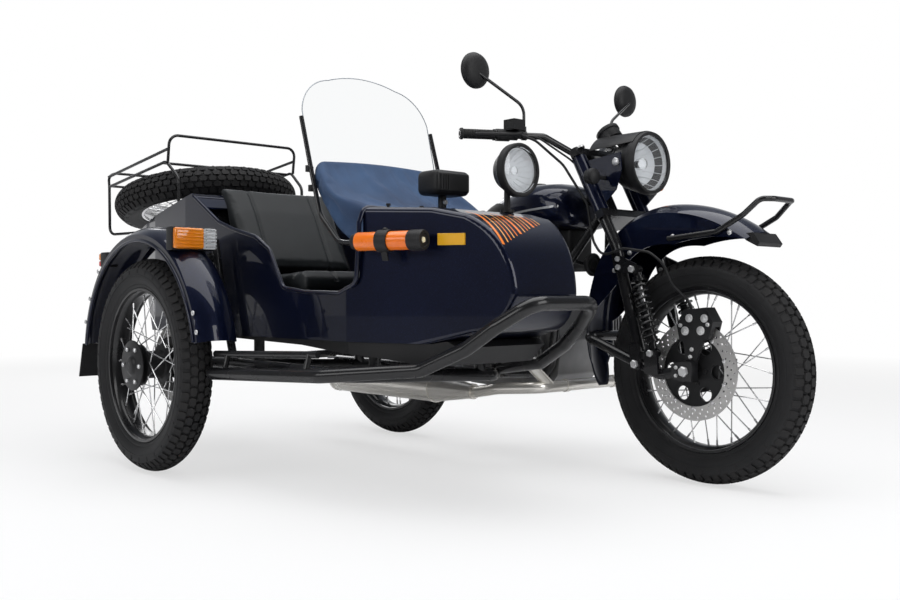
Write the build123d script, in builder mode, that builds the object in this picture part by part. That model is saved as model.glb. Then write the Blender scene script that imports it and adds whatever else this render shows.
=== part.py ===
"""Boxer-twin motorcycle with a driven sidecar on its right, as a jointed assembly.

All sizes are in millimetres. The pieces are drawn from the rear axle: X runs forward, Y to the
rider's left, Z up from the ground, and each piece is set over the origin as it is written.
"""

import os
from math import cos, radians, sin, tan

from build123d import *

# Outfit
WHEELBASE = 1500
LEAD = 173
ORIGIN_X = 596
ORIGIN_Y = -394
FIT = 0.3
RUN = 0.06

# Wheels, tyres and discs
TYRE_R = 343
TYRE_W = 108
BEAD_R = 248
RIM_R = 229
RIM_W = 72
HUB_W = 124
FLANGE_R = 66
AXLE_R = 10
SPOKES = 36
SPOKE_T = 4
DISC_R = 148
DISC_T = 5
CARRIER_T = 7

# Steering
RAKE = 28
STEER_X = WHEELBASE - 457
STEER_Z = 996
STEM_R = 15
STEM_RUN = 0.1
BEARING_LONG = 22
FORK_Y = 106
LEG_R = 18
LINK_R = 16
BAR_R = 11
BAR_BORE_R = 8
GUARD_HALF = 80
GUARD_T = 3

# Sidecar body
BODY_HALF = 275
BODY_GAP = 425
WHEEL_GAP = 177
BODY_Y = -(BODY_GAP + BODY_HALF)
TRACK = BODY_HALF + WHEEL_GAP - BODY_Y
NOSE_X = 1491
NOSE_HALF = 118
TAPER_X = 1000
COWL_X = 1053
FLOOR_Z = 440
WALL = 5
EDGE_R = 14
LID_T = 14
LID_TILT = 10.6
HINGE_R = 7

PARTS = "parts"
os.makedirs(PARTS, exist_ok=True)


def keep(name, piece):
    """Labels a finished piece, sets it over the origin and writes it."""
    placed = piece.part.moved(Location((-ORIGIN_X, -ORIGIN_Y, 0)))
    placed.label = name
    export_step(placed, f"{PARTS}/{name}.step")


def tube(points, radius, bend):
    """Adds a round bar that follows straight runs joined by bends."""
    with BuildLine() as route:
        if len(points) == 2:
            Line(*points)
        else:
            FilletPolyline(*points, radius=bend)
    wire = route.wire()
    with BuildSketch(Plane(wire @ 0, z_dir=wire % 0)) as section:
        Circle(radius)
    sweep(section.sketch, path=wire)


def rod(start, end, radius, mode=Mode.ADD):
    """Adds or cuts a straight round bar between two points."""
    run = Vector(*end) - Vector(*start)
    with BuildSketch(Plane(start, z_dir=run)) as section:
        Circle(radius)
    extrude(section.sketch, amount=run.length, mode=mode)


def slab(outline, y_low, y_high, mode=Mode.ADD):
    """Adds or cuts a plate whose outline is drawn from the side, between two Y values."""
    with BuildSketch(Plane.XZ.offset(-y_high)) as section:
        Polygon(*outline, align=None)
    extrude(section.sketch, amount=y_high - y_low, mode=mode)


def block(low, high, mode=Mode.ADD):
    """Adds or cuts a box between two corners."""
    size = [b - a for a, b in zip(low, high)]
    middle = [(a + b) / 2 for a, b in zip(low, high)]
    with Locations(tuple(middle)):
        Box(*size, mode=mode)


def turned(outline, y, z):
    """Adds a body turned about a line along X; the outline is drawn as (x, radius)."""
    with BuildSketch(Plane((0, y, z), x_dir=(1, 0, 0), z_dir=(0, -1, 0))) as section:
        Polygon(*outline, align=None)
    revolve(section.sketch, axis=Axis((0, y, z), (1, 0, 0)))


def steer_point(down, ahead, y=0):
    """A point so far down the steering axis from its reference point and ahead of it."""
    x = STEER_X + down * sin(radians(RAKE)) + ahead * cos(radians(RAKE))
    z = STEER_Z - down * cos(radians(RAKE)) + ahead * sin(radians(RAKE))
    return (x, y, z)


# Tyre carcass: half width and radius, from bead to crown
half = TYRE_W / 2
CARCASS = (
    (RIM_W / 2, BEAD_R),
    (half, BEAD_R + 37),
    (half - 2, TYRE_R - 28),
    (half - 24, TYRE_R),
)
with BuildPart() as tyre:
    ring = [(-w, r) for w, r in CARCASS] + [(w, r) for w, r in reversed(CARCASS)]
    with BuildSketch(Plane.YZ) as section:
        Polygon(*ring, align=None)
    revolve(axis=Axis.Y)

# Laced wheel: rim, hub and crossed spokes in one piece
with BuildPart() as wheel:
    rim_edge = RIM_W / 2
    with BuildSketch(Plane.YZ) as section:
        Polygon(
            (-rim_edge, BEAD_R - FIT),
            (rim_edge, BEAD_R - FIT),
            (rim_edge, BEAD_R - 9),
            (rim_edge - 14, RIM_R),
            (14 - rim_edge, RIM_R),
            (-rim_edge, BEAD_R - 9),
            align=None,
        )
        Polygon(
            (-HUB_W / 2, 0),
            (-HUB_W / 2, 40),
            (-44, 44),
            (-42, FLANGE_R),
            (-34, FLANGE_R),
            (-30, 46),
            (30, 46),
            (34, FLANGE_R),
            (42, FLANGE_R),
            (44, 44),
            (HUB_W / 2, 40),
            (HUB_W / 2, 0),
            align=None,
        )
    revolve(axis=Axis.Y)
    for index in range(SPOKES):
        side = 1 if index % 2 else -1
        lean = 1 if index % 4 < 2 else -1
        at_rim = index * 360 / SPOKES
        at_hub = at_rim + lean * 62
        start = Vector(FLANGE_R - 8, side * 38, 0).rotate(Axis.Y, at_hub)
        end = Vector(RIM_R + 4, side * 8, 0).rotate(Axis.Y, at_rim)
        with BuildSketch(Plane(start, z_dir=end - start)) as section:
            Rectangle(SPOKE_T, SPOKE_T)
        extrude(amount=(end - start).length)
    rod((0, -HUB_W, 0), (0, HUB_W, 0), AXLE_R + RUN, Mode.SUBTRACT)

# Wheel positions: name, place of the hub centre with its tilt, disc radius, disc side
SPARE_AT = (-300, BODY_Y, 930)
flat = Location((0, 0, 0), (90, 0, 0))
WHEELS = (
    ("front", Location((WHEELBASE, 0, TYRE_R)), DISC_R, -1),
    ("rear", Location((0, 0, TYRE_R)), DISC_R - 20, 1),
    ("sidecar", Location((LEAD, -TRACK, TYRE_R)), DISC_R - 25, 1),
    ("spare", Location(SPARE_AT, (0, -LID_TILT, 0)) * flat, 0, 1),
)
for name, spot, radius, side in WHEELS:
    with BuildPart() as placed_tyre:
        with Locations(spot):
            add(tyre.part)
    keep(f"{name}_tyre", placed_tyre)
    with BuildPart() as braked:
        add(wheel.part)
        face = side * HUB_W / 2
        if radius:
            with BuildSketch(Plane.XZ.offset(-face)) as section:
                Circle(radius - 32)
                Circle(28, mode=Mode.SUBTRACT)
                with PolarLocations(radius - 62, 6):
                    RegularPolygon(21, 3, mode=Mode.SUBTRACT)
            extrude(amount=-side * CARRIER_T)
            with BuildSketch(Plane.XZ.offset(-face - side * CARRIER_T)) as section:
                Circle(radius)
                Circle(radius - 42, mode=Mode.SUBTRACT)
            extrude(amount=-side * DISC_T)
    with BuildPart() as placed_wheel:
        with Locations(spot):
            add(braked.part)
    keep(f"{name}_wheel", placed_wheel)

# The front end is measured from the front axle
FRONT = WHEELBASE

# Fork: two bent legs, both yokes and the steering stem
LEG_TOP = steer_point(-30, 44)
LEG_KNEE = steer_point(330, 44)
LEG_END = (FRONT - 173, 0, 392)
PIVOT = (FRONT - 172, 357)
SHOCK_TOP = (FRONT - 184, 648)
SHOCK_LOW = (FRONT - 116, 392)
AXLE = (WHEELBASE, TYRE_R)
HEAD_TOP = 12
HEAD_LOW = 200
EAR = (FORK_Y + LINK_R + FIT - 4, FORK_Y + LINK_R + 6)
with BuildPart() as fork:
    for side in (-1, 1):
        y = side * FORK_Y
        tube(
            [(LEG_TOP[0], y, LEG_TOP[2]), (LEG_KNEE[0], y, LEG_KNEE[2]), (LEG_END[0], y, LEG_END[2])],
            LEG_R,
            160,
        )
        low, high = sorted((side * (FORK_Y + LINK_R + FIT), side * (FORK_Y + LINK_R + 8)))
        slab(
            [
                (FRONT - 194, 420),
                (FRONT - 160, 420),
                (FRONT - 154, 372),
                (FRONT - 154, 340),
                (FRONT - 190, 340),
            ],
            low,
            high,
        )
        slab(
            [(FRONT - 266, 704), (FRONT - 170, 664), (FRONT - 170, 632), (FRONT - 250, 640)],
            low,
            high,
        )
        rod((FRONT - 254, side * (GUARD_HALF + FIT), 694), (FRONT - 254, y, 694), 9)
    for down, thick in ((HEAD_TOP - 34, 26), (HEAD_LOW + 8, 26)):
        mark = steer_point(down, 0)
        with BuildSketch(
            Plane(
                mark,
                x_dir=(cos(radians(RAKE)), 0, sin(radians(RAKE))),
                z_dir=(sin(radians(RAKE)), 0, -cos(radians(RAKE))),
            )
        ) as yoke:
            with BuildLine() as rim:
                Polyline((-24, 20), (-24, -20), (36, -134), (66, -134), (66, 134), (36, 134), (-24, 20))
            make_face()
        extrude(amount=thick)
    rod(steer_point(HEAD_TOP - 30, 0), steer_point(HEAD_LOW + 30, 0), STEM_R)
keep("fork", fork)

# Leading link: arms, the loop behind the tyre and the front axle
with BuildPart() as link:
    route = [
        (WHEELBASE - 30, FORK_Y, 341),
        (FRONT - 95, FORK_Y, 328),
        (FRONT - 328, FORK_Y, 414),
        (FRONT - 390, FORK_Y, 434),
        (FRONT - 390, -FORK_Y, 434),
        (FRONT - 328, -FORK_Y, 414),
        (FRONT - 95, -FORK_Y, 328),
        (WHEELBASE - 30, -FORK_Y, 341),
    ]
    tube(route, LINK_R, 40)
    for side in (-1, 1):
        low, high = sorted((side * (FORK_Y - 18), side * (FORK_Y + 16)))
        slab(
            [
                (FRONT - 44, 320),
                (FRONT - 44, 364),
                (FRONT - 10, 372),
                (FRONT + 26, 372),
                (FRONT + 26, 314),
                (FRONT - 10, 314),
            ],
            low,
            high,
        )
        low, high = sorted((side * EAR[0], side * EAR[1]))
        slab([(FRONT - 138, 330), (FRONT - 138, 402), (FRONT - 94, 402), (FRONT - 88, 330)], low, high)
    rod((WHEELBASE, -FORK_Y - 24, TYRE_R), (WHEELBASE, FORK_Y + 24, TYRE_R), AXLE_R)
keep("front_link", link)


def shock(low, high, y, body_r, spring_r, eye_half):
    """Adds a spring and damper unit between two eyes in one vertical plane."""
    run = Vector(high[0] - low[0], 0, high[1] - low[1])
    unit = run.normalized()
    start = Vector(low[0], y, low[1])
    for spot in (start, start + run):
        rod((spot.X, y - eye_half, spot.Z), (spot.X, y + eye_half, spot.Z), 12)
    rod(start, start + run, 9)
    rod(start + unit * 30, start + unit * (run.length - 30), body_r)
    coils = 9
    free = run.length - 76
    for coil in range(coils):
        foot = start + unit * (34 + coil * free / coils)
        rod(foot, (foot + unit * (free / coils * 0.55)), spring_r)


with BuildPart() as front_shocks:
    for side in (-1, 1):
        shock(SHOCK_LOW, SHOCK_TOP, side * FORK_Y, 19, 27, FORK_Y + LINK_R - 4 - FORK_Y)
keep("front_shocks", front_shocks)

# Front caliper on a plate bolted to the right end of the link
with BuildPart() as caliper:
    slab(
        [
            (FRONT - 30, 432),
            (FRONT - 40, 478),
            (FRONT - 16, 524),
            (FRONT + 58, 532),
            (FRONT + 84, 490),
            (FRONT + 70, 440),
            (FRONT + 20, 424),
        ],
        -100,
        -50,
    )
    with BuildSketch(Plane.XZ.offset(HUB_W / 2 - 5)) as slot:
        with Locations((WHEELBASE, TYRE_R)):
            Circle(DISC_R + 6)
    extrude(amount=CARRIER_T + DISC_T + 10, mode=Mode.SUBTRACT)
    slab(
        [(FRONT - 8, 372 + FIT), (FRONT + 26, 372 + FIT), (FRONT + 60, 450), (FRONT - 20, 450)],
        -100,
        -90,
    )
keep("front_caliper", caliper)

# Front mudguard: a deep channel swept over the tyre, its sides trimmed along the lip
GUARD_TOP_X = FRONT - 110
GUARD_TOP_Z = 848
GUARD_DEEP = 125
GUARD_TIP = (FRONT + 192, 749)
GUARD_TURN = (FRONT - 395, 660)
SKIRT_END = (FRONT - 403, 269)


def channel(middle, top, half, shoulder, deep):
    """Draws the thin section of a mudguard: a rounded crown between two sides."""
    inner = half - GUARD_T
    with BuildLine() as outer:
        Polyline(
            (middle - half, top - shoulder),
            (middle - half, top - deep),
            (middle - inner, top - deep),
            (middle - inner, top - shoulder - 1),
        )
        ThreePointArc(
            (middle - inner, top - shoulder - 1),
            (middle, top - GUARD_T),
            (middle + inner, top - shoulder - 1),
        )
        Polyline(
            (middle + inner, top - shoulder - 1),
            (middle + inner, top - deep),
            (middle + half, top - deep),
            (middle + half, top - shoulder),
        )
        ThreePointArc((middle + half, top - shoulder), (middle, top), (middle - half, top - shoulder))
    make_face(outer.edges())


with BuildPart() as front_fender:
    with BuildLine(Plane.XZ) as crown:
        fore = TangentArc((GUARD_TOP_X, GUARD_TOP_Z), GUARD_TIP, tangent=(1, 0))
        aft = TangentArc((GUARD_TOP_X, GUARD_TOP_Z), GUARD_TURN, tangent=(-1, 0))
        TangentArc(GUARD_TURN, SKIRT_END, tangent=((aft % 1).X, (aft % 1).Z))
    with BuildSketch(Plane(fore @ 1, x_dir=(0, 1, 0), z_dir=fore % 1)) as section:
        channel(0, 0, GUARD_HALF, 30, GUARD_DEEP)
    sweep(section.sketch, path=crown.wire())
    with BuildSketch(Plane.XZ.offset(-200)) as trim:
        with BuildLine() as lip:
            Polyline(
                (FRONT + 220, 716),
                (FRONT + 220, 200),
                (FRONT - 386, 200),
                (FRONT - 416, 340),
                (FRONT - 416, 480),
                (FRONT - 310, 575),
            )
            ThreePointArc((FRONT - 310, 575), (FRONT - 80, 716), (FRONT + 220, 716))
        make_face()
    extrude(amount=400, mode=Mode.SUBTRACT)
keep("front_fender", front_fender)

# Guard loop round the tip of the front mudguard
LOOP_R = 8
with BuildPart() as fender_loop:
    reach = GUARD_HALF + LOOP_R + FIT
    half_loop = [
        (FRONT - 80, reach, 738),
        (FRONT + 90, reach, 752),
        (FRONT + 176, reach, 796),
        (FRONT + 224, reach - 8, 838),
        (FRONT + 248, reach - 40, 838),
    ]
    tube([(x, -y, z) for x, y, z in half_loop] + half_loop[::-1], LOOP_R, 26)
keep("fender_loop", fender_loop)

# Headlamp: shell, lens, side ears, hood and speedometer
LAMP_X = FRONT - 209
LAMP_Z = 987
LAMP_R = 98
with BuildPart() as headlamp:
    turned(
        [
            (LAMP_X - 119, 0),
            (LAMP_X - 119, 36),
            (LAMP_X - 95, 72),
            (LAMP_X - 51, 90),
            (LAMP_X - 29, 92),
            (LAMP_X - 27, LAMP_R),
            (LAMP_X, LAMP_R),
            (LAMP_X, LAMP_R - 9),
            (LAMP_X - 21, LAMP_R - 14),
            (LAMP_X - 71, 40),
            (LAMP_X - 79, 0),
        ],
        0,
        LAMP_Z,
    )
keep("headlamp", headlamp)

with BuildPart() as headlamp_lens:
    glass = LAMP_R - 10
    turned(
        [
            (LAMP_X - 12, 0),
            (LAMP_X - 12, glass - 2.4),
            (LAMP_X, glass),
            (LAMP_X + 6, 42),
            (LAMP_X + 8, 0),
        ],
        0,
        LAMP_Z,
    )
keep("headlamp_lens", headlamp_lens)

# Painted sleeves over the upper fork legs, with the ears that hold the lamp
EAR_OUT = LAMP_R + 8
SLEEVE_R = 24
with BuildPart() as covers:
    for side in (-1, 1):
        y = side * FORK_Y
        rod(steer_point(HEAD_TOP - 8 + FIT, 44, y), steer_point(HEAD_LOW + 8 - FIT, 44, y), SLEEVE_R)
        low, high = sorted((side * (EAR_OUT - 4), side * EAR_OUT))
        slab(
            [
                (FRONT - 390, 1000),
                (FRONT - 248, 1016),
                (FRONT - 242, 960),
                (FRONT - 264, 900),
                (FRONT - 320, 850),
                (FRONT - 360, 930),
            ],
            low,
            high,
        )
        rod(
            (LAMP_X - 55, side * (LAMP_R - 7.3 + FIT), LAMP_Z),
            (LAMP_X - 55, side * EAR_OUT, LAMP_Z),
            11,
        )
        rod(
            steer_point(HEAD_TOP - 60, 44, y),
            steer_point(HEAD_LOW + 60, 44, y),
            LEG_R + FIT,
            Mode.SUBTRACT,
        )
keep("fork_covers", covers)

# Hood over the lamp, with the speedometer behind it
HOOD_IN = LAMP_R + FIT
HOOD_X = FRONT - 388
with BuildPart() as lamp_hood:
    with BuildSketch(Plane.YZ.offset(HOOD_X)) as arch:
        with Locations((0, LAMP_Z)):
            Circle(HOOD_IN + 4)
            Circle(HOOD_IN, mode=Mode.SUBTRACT)
    extrude(amount=LAMP_X - 9 - HOOD_X)
    slab(
        [
            (FRONT - 500, 1030),
            (FRONT - 400, 1034),
            (FRONT - 200, 1050),
            (FRONT - 200, 800),
            (FRONT - 500, 800),
        ],
        -200,
        200,
        Mode.SUBTRACT,
    )
    dial = Vector(-sin(radians(38)), 0, cos(radians(38)))
    foot = Vector(FRONT - 368, 0, 1084)
    rod(foot - dial * 12, foot + dial * 26, 36)
    rod(foot + dial * 18, foot + dial * 30, 40)
keep("lamp_hood", lamp_hood)

# Handlebar with open tube ends, grips, controls and mirrors
CLAMP = steer_point(HEAD_TOP - 62, 0)
BAR_BEND = (FRONT - 522, 160, 1090)
BAR_END = (FRONT - 650, 420, 1088)
bar_dir = (Vector(*BAR_END) - Vector(*BAR_BEND)).normalized()
BORE_DEEP = 50


def on_bar(back, side):
    """A point on the swept part of the bar, so far in from its end on one side."""
    spot = Vector(*BAR_END) - bar_dir * back
    return (spot.X, side * spot.Y, spot.Z)


with BuildPart() as handlebar:
    centre = (CLAMP[0], CLAMP[2])
    tube(
        [
            BAR_END,
            BAR_BEND,
            (centre[0], 64, centre[1]),
            (centre[0], -64, centre[1]),
            (BAR_BEND[0], -BAR_BEND[1], BAR_BEND[2]),
            (BAR_END[0], -BAR_END[1], BAR_END[2]),
        ],
        BAR_R,
        34,
    )
    for side in (-1, 1):
        rod(on_bar(0, side), on_bar(BORE_DEEP, side), BAR_BORE_R, Mode.SUBTRACT)
        rod((centre[0], side * 34 - 12, centre[1]), (centre[0], side * 34 + 12, centre[1]), 19)
        foot = steer_point(HEAD_TOP - 34 - FIT, 0, side * 34)
        rod(foot, (centre[0], side * 34, centre[1]), 11)
keep("handlebar", handlebar)

GRIP_LONG = 120
with BuildPart() as grips:
    for side in (-1, 1):
        rod(on_bar(2, side), on_bar(GRIP_LONG, side), 16)
        rod(on_bar(-4, side), on_bar(GRIP_LONG + 4, side), BAR_R + FIT, Mode.SUBTRACT)
keep("grips", grips)

with BuildPart() as controls:
    for side in (-1, 1):
        rod(on_bar(GRIP_LONG + 3, side), on_bar(GRIP_LONG + 48, side), 20)
        rod(on_bar(GRIP_LONG + 48, side), on_bar(GRIP_LONG + 76, side), 16)
        perch = Vector(*on_bar(GRIP_LONG + 62, side))
        pivot = perch + Vector(38, 0, 0)
        rod(perch, pivot, 11)
        tip = Vector(*on_bar(16, side)) + Vector(52, 0, -8)
        tube([pivot, (Vector(*on_bar(GRIP_LONG - 10, side)) + Vector(50, 0, -4)), tip], 6.5, 30)
        rod(on_bar(GRIP_LONG - 8, side), on_bar(GRIP_LONG + 90, side), BAR_R + FIT, Mode.SUBTRACT)
    tank = Vector(*on_bar(GRIP_LONG + 54, -1)) + Vector(18, 0, 34)
    block((tank.X - 24, tank.Y - 26, tank.Z - 20), (tank.X + 24, tank.Y + 26, tank.Z + 14))
    rod(on_bar(GRIP_LONG - 8, -1), on_bar(GRIP_LONG + 110, -1), BAR_R + FIT, Mode.SUBTRACT)
keep("bar_controls", controls)

MIRROR = (FRONT - 614, 384, 1290)
with BuildPart() as mirrors:
    for side in (-1, 1):
        perch = Vector(*on_bar(GRIP_LONG + 100, side))
        rod(on_bar(GRIP_LONG + 92, side), on_bar(GRIP_LONG + 108, side), 15)
        head = Vector(MIRROR[0], side * MIRROR[1], MIRROR[2])
        tube([perch, (perch + Vector(0, 0, 96)), (head + Vector(16, 0, -10))], 5.5, 40)
        rod(on_bar(GRIP_LONG + 80, side), on_bar(GRIP_LONG + 120, side), BAR_R + FIT, Mode.SUBTRACT)
        rod((head + Vector(-8, 0, 0)), (head + Vector(6, 0, 0)), 58)
        rod((head + Vector(6, 0, 0)), (head + Vector(22, 0, 0)), 46)
keep("mirrors", mirrors)

# Front indicators on stalks from the lamp ears
with BuildPart() as front_signals:
    for side in (-1, 1):
        out = EAR_OUT + FIT
        rod((FRONT - 310, side * out, 940), (FRONT - 310, side * (out + 44), 940), 7)
        rod((FRONT - 332, side * (out + 62), 940), (FRONT - 288, side * (out + 62), 940), 26)
keep("front_signals", front_signals)

# Motorcycle frame: head tube, backbone, cradle, seat rails and mounts
RAIL_Y = 100
CRADLE_Y = 120
ENGINE_HALF = 98
RAIL_R = 15
PIVOT_X = 404
PIVOT_Z = 420
ARM_R = 16
SHOCK_Y = 156
EYE_HALF = 16
with BuildPart() as bike_frame:
    rod(steer_point(HEAD_TOP, 0), steer_point(HEAD_LOW, 0), 27)
    tube([steer_point(106, -6), (660, 0, 796), (560, 0, 690), (340, 0, 682)], 20, 60)
    for side in (-1, 1):
        tube(
            [
                steer_point(165, -8, side * 14),
                (1022, side * CRADLE_Y, 640),
                (968, side * CRADLE_Y, 300),
                (490, side * CRADLE_Y, 290),
                (404, side * CRADLE_Y, 420),
                (330, side * RAIL_Y, 700),
                (-250, side * RAIL_Y, 736),
            ],
            RAIL_R,
            60,
        )
        for x, z in ((940, 300), (560, 292)):
            rod((x, side * (ENGINE_HALF + FIT), z), (x, side * CRADLE_Y, z), 12)
        rod((-14, side * RAIL_Y, 716), (-14, side * (SHOCK_Y - EYE_HALF - FIT), 716), 11)
    for x, z in ((340, 682), (-120, 752)):
        rod((x, -RAIL_Y, z), (x, RAIL_Y, z), 14)
    rod((PIVOT_X, -CRADLE_Y, PIVOT_Z), (PIVOT_X, CRADLE_Y, PIVOT_Z), ARM_R)
    rod(steer_point(HEAD_TOP - 20, 0), steer_point(HEAD_LOW + 20, 0), STEM_R + STEM_RUN, Mode.SUBTRACT)
    head_low = steer_point(HEAD_LOW - BEARING_LONG, 0)
    rod(steer_point(HEAD_TOP + BEARING_LONG, 0), head_low, STEM_R + 4, Mode.SUBTRACT)
keep("bike_frame", bike_frame)

# Engine and gearbox in one block, with the air box on top
with BuildPart() as engine:
    with BuildSketch(Plane.XZ.offset(-ENGINE_HALF)) as section:
        with BuildLine() as side_view:
            FilletPolyline(
                (470, 330),
                (560, 250),
                (930, 236),
                (985, 300),
                (1000, 420),
                (960, 540),
                (800, 600),
                (700, 540),
                (500, 520),
                close=True,
                radius=24,
            )
        make_face()
    extrude(amount=2 * ENGINE_HALF)
    slab([(510, 510), (690, 520), (680, 650), (640, 664), (524, 640)], -78, 78)
keep("engine_block", engine)

# Finned cylinders: name, side
CYL_X = 880
CYL_Z = 420
HEAD_OUT = 394
FINS = 9
for name, side in (("cylinder_right", -1), ("cylinder_left", 1)):
    with BuildPart() as cylinder:
        rod((CYL_X, side * ENGINE_HALF, CYL_Z), (CYL_X, side * 330, CYL_Z), 52)
        for fin in range(FINS):
            y = side * (150 + fin * 15)
            low, high = sorted((y, y + side * 5))
            block((CYL_X - 78, low, CYL_Z - 74), (CYL_X + 78, high, CYL_Z + 74))
        low, high = sorted((side * 288, side * HEAD_OUT))
        block((CYL_X - 66, low, CYL_Z - 62), (CYL_X + 66, high, CYL_Z + 62))
        edges = cylinder.edges().filter_by(Axis.Y).sort_by(lambda edge: -edge.length)[0:4]
        fillet(edges, 26)
    keep(name, cylinder)

# Exhaust: both headers, the crossover and one silencer on the right
PIPE_R = 19
PIPE_Z = 272
PORT_Z = CYL_Z - 30
SILENCER_Y = -306
SILENCER_Z = 246
with BuildPart() as exhaust:
    out = CYL_X + 66 + FIT
    tube(
        [
            (out, 340, PORT_Z),
            (1034, 340, PORT_Z),
            (1040, 290, PIPE_Z),
            (1040, -250, PIPE_Z),
            (910, SILENCER_Y, PIPE_Z - 8),
            (810, SILENCER_Y, SILENCER_Z),
            (740, SILENCER_Y, SILENCER_Z),
        ],
        PIPE_R,
        44,
    )
    tube([(out, -340, PORT_Z), (1036, -340, PORT_Z), (1040, -196, PIPE_Z + 2)], PIPE_R - 2, 40)
    turned(
        [(20, 0), (20, 44), (34, 50), (600, 50), (790, 24), (800, 24), (800, 0)],
        SILENCER_Y,
        SILENCER_Z,
    )
keep("exhaust", exhaust)

# Fuel tank over the backbone, with its cap
NECK = STEER_X - 1
with BuildPart() as tank:
    with BuildSketch(Plane.XZ.offset(-200)) as section:
        with BuildLine() as side_view:
            FilletPolyline(
                (566, 800),
                (610, 772),
                (NECK - 6, 790),
                (NECK, 838),
                (NECK - 56, 938),
                (NECK - 142, 952),
                (700, 925),
                (586, 868),
                close=True,
                radius=26,
            )
        make_face()
    extrude(amount=400)
    with BuildSketch(Plane.XY.offset(700)) as section:
        with BuildLine() as plan:
            FilletPolyline(
                (560, 66),
                (720, 116),
                (NECK - 162, 150),
                (NECK - 42, 136),
                (NECK + 4, 84),
                (NECK + 4, -84),
                (NECK - 42, -136),
                (NECK - 162, -150),
                (720, -116),
                (560, -66),
                close=True,
                radius=30,
            )
        make_face()
    extrude(amount=400, mode=Mode.INTERSECT)
    slab(
        [(500, 700), (500, 780), (660, 796 + 21), (1120, 796 + 21 + 460 * 0.2423), (1120, 700)],
        -32,
        32,
        Mode.SUBTRACT,
    )
    up = Vector(-27, 0, 200).normalized()
    foot = Vector(790, 0, 937.2)
    rod(foot - up * 4, foot + up * 20, 33)
keep("fuel_tank", tank)

# Rider's bench
with BuildPart() as rider_seat:
    slab(
        [
            (52, 733),
            (330, 716),
            (560, 738),
            (568, 782),
            (430, 778),
            (290, 790),
            (236, 812),
            (60, 826),
            (34, 804),
            (34, 738),
        ],
        -128,
        128,
    )
keep("rider_seat", rider_seat)

# Rear mudguard
REAR_GUARD_R = 384
with BuildPart() as rear_fender:
    with BuildSketch(Plane.YZ) as section:
        channel(0, TYRE_R + REAR_GUARD_R, RAIL_Y - RAIL_R - FIT, 9, 66)
    hub_line = Axis((0, 0, TYRE_R), (0, 1, 0))
    revolve(section.sketch.rotate(hub_line, 62), axis=hub_line, revolution_arc=-160)
keep("rear_fender", rear_fender)

# Rear swinging arm with the final drive and the rear axle
DRIVE_Y = RAIL_Y + 22
LUG_Y = SHOCK_Y - EYE_HALF - FIT
with BuildPart() as rear_arm:
    front = PIVOT_X - 2 * ARM_R - FIT
    rod((front, -RAIL_Y, PIVOT_Z), (front, RAIL_Y, PIVOT_Z), ARM_R)
    for side, radius in ((-1, 18), (1, ARM_R - 1)):
        rod((front, side * RAIL_Y, PIVOT_Z), (0, side * RAIL_Y, TYRE_R), radius)
        rod((46, side * RAIL_Y, 368), (46, side * LUG_Y, 368), 11)
    rod((0, -DRIVE_Y, TYRE_R), (0, -HUB_W / 2 - 8, TYRE_R), 84)
    rod((0, HUB_W / 2 + 24, TYRE_R), (0, RAIL_Y + 16, TYRE_R), 26)
    rod((0, -RAIL_Y - 12, TYRE_R), (0, RAIL_Y + 20, TYRE_R), AXLE_R)
keep("rear_arm", rear_arm)

# Foot pegs, pedals and the kick lever
with BuildPart() as foot_controls:
    for side in (-1, 1):
        out = CRADLE_Y + 15 + FIT
        rod((580, side * out, 292), (580, side * (out + 96), 292), 14)
        tube(
            [
                (600, side * (out + 10), 292),
                (640, side * (out + 10), 300),
                (730, side * (out + 40), 296),
                (730, side * (out + 80), 296),
            ],
            8,
            14,
        )
        rod((578, side * (out + 10), 292), (602, side * (out + 10), 292), 8)
keep("foot_controls", foot_controls)

# Shaft that drives the sidecar wheel
RIGHT_Y = BODY_Y - BODY_HALF - 25
HOUSING_Y = RIGHT_Y
SIDE_SHOCK_Y = RIGHT_Y - 40
GUARD_Y = 12 - TRACK
GUARD_W = 65
with BuildPart() as side_shaft:
    start = -DRIVE_Y - FIT
    end = HOUSING_Y + FIT
    rod((0, start, TYRE_R), (0, start - 24, TYRE_R), 30)
    rod((LEAD, end, TYRE_R), (LEAD, end + 24, TYRE_R), 30)
    rod((0, start - 14, TYRE_R), (LEAD, end + 14, TYRE_R), 15)
keep("side_shaft", side_shaft)

# Sidecar chassis: perimeter tube, cross tube, body mounts and struts to the motorcycle
CHASSIS_R = 20
LEFT_Y = BODY_Y + BODY_HALF + 25
LEFT_Z = 322
RIGHT_Z = 350
FRONT_X = 1030
REAR_X = 330
BELLY = ((300, 433), (771, 423), (1090, 399), (1256, 381))


def belly_z(x):
    """Height of the underside of the stone guard."""
    for (x0, z0), (x1, z1) in zip(BELLY, BELLY[1:]):
        if x <= x1:
            return z0 + (z1 - z0) * (x - x0) / (x1 - x0)
    return BELLY[-1][1]


with BuildPart() as side_frame:
    tube(
        [
            (150, LEFT_Y, LEFT_Z),
            (FRONT_X, LEFT_Y, LEFT_Z),
            (FRONT_X, RIGHT_Y, RIGHT_Z),
            (REAR_X, RIGHT_Y, RIGHT_Z),
        ],
        CHASSIS_R,
        70,
    )
    rod((420, LEFT_Y, LEFT_Z), (420, RIGHT_Y, RIGHT_Z), CHASSIS_R - 2)
    for x, y, z in (
        (420, LEFT_Y - 100, 327),
        (420, RIGHT_Y + 100, 345),
        (FRONT_X, LEFT_Y - 100, 327),
        (FRONT_X, RIGHT_Y + 100, 345),
    ):
        rod((x, y, z), (x, y, belly_z(x + 17) - FIT), 17)
    tube([(444, RIGHT_Y - 4, RIGHT_Z + 6), (352, RIGHT_Y - 8, 640), (328, RIGHT_Y - 8, 744)], 13, 60)
    rod((328, RIGHT_Y - 8, 728), (328, GUARD_Y + GUARD_W + FIT, 728), 9)
    rod((330, RIGHT_Y - 8, 688), (330, SIDE_SHOCK_Y + 14 + FIT, 688), 16)
keep("sidecar_frame", side_frame)

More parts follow.
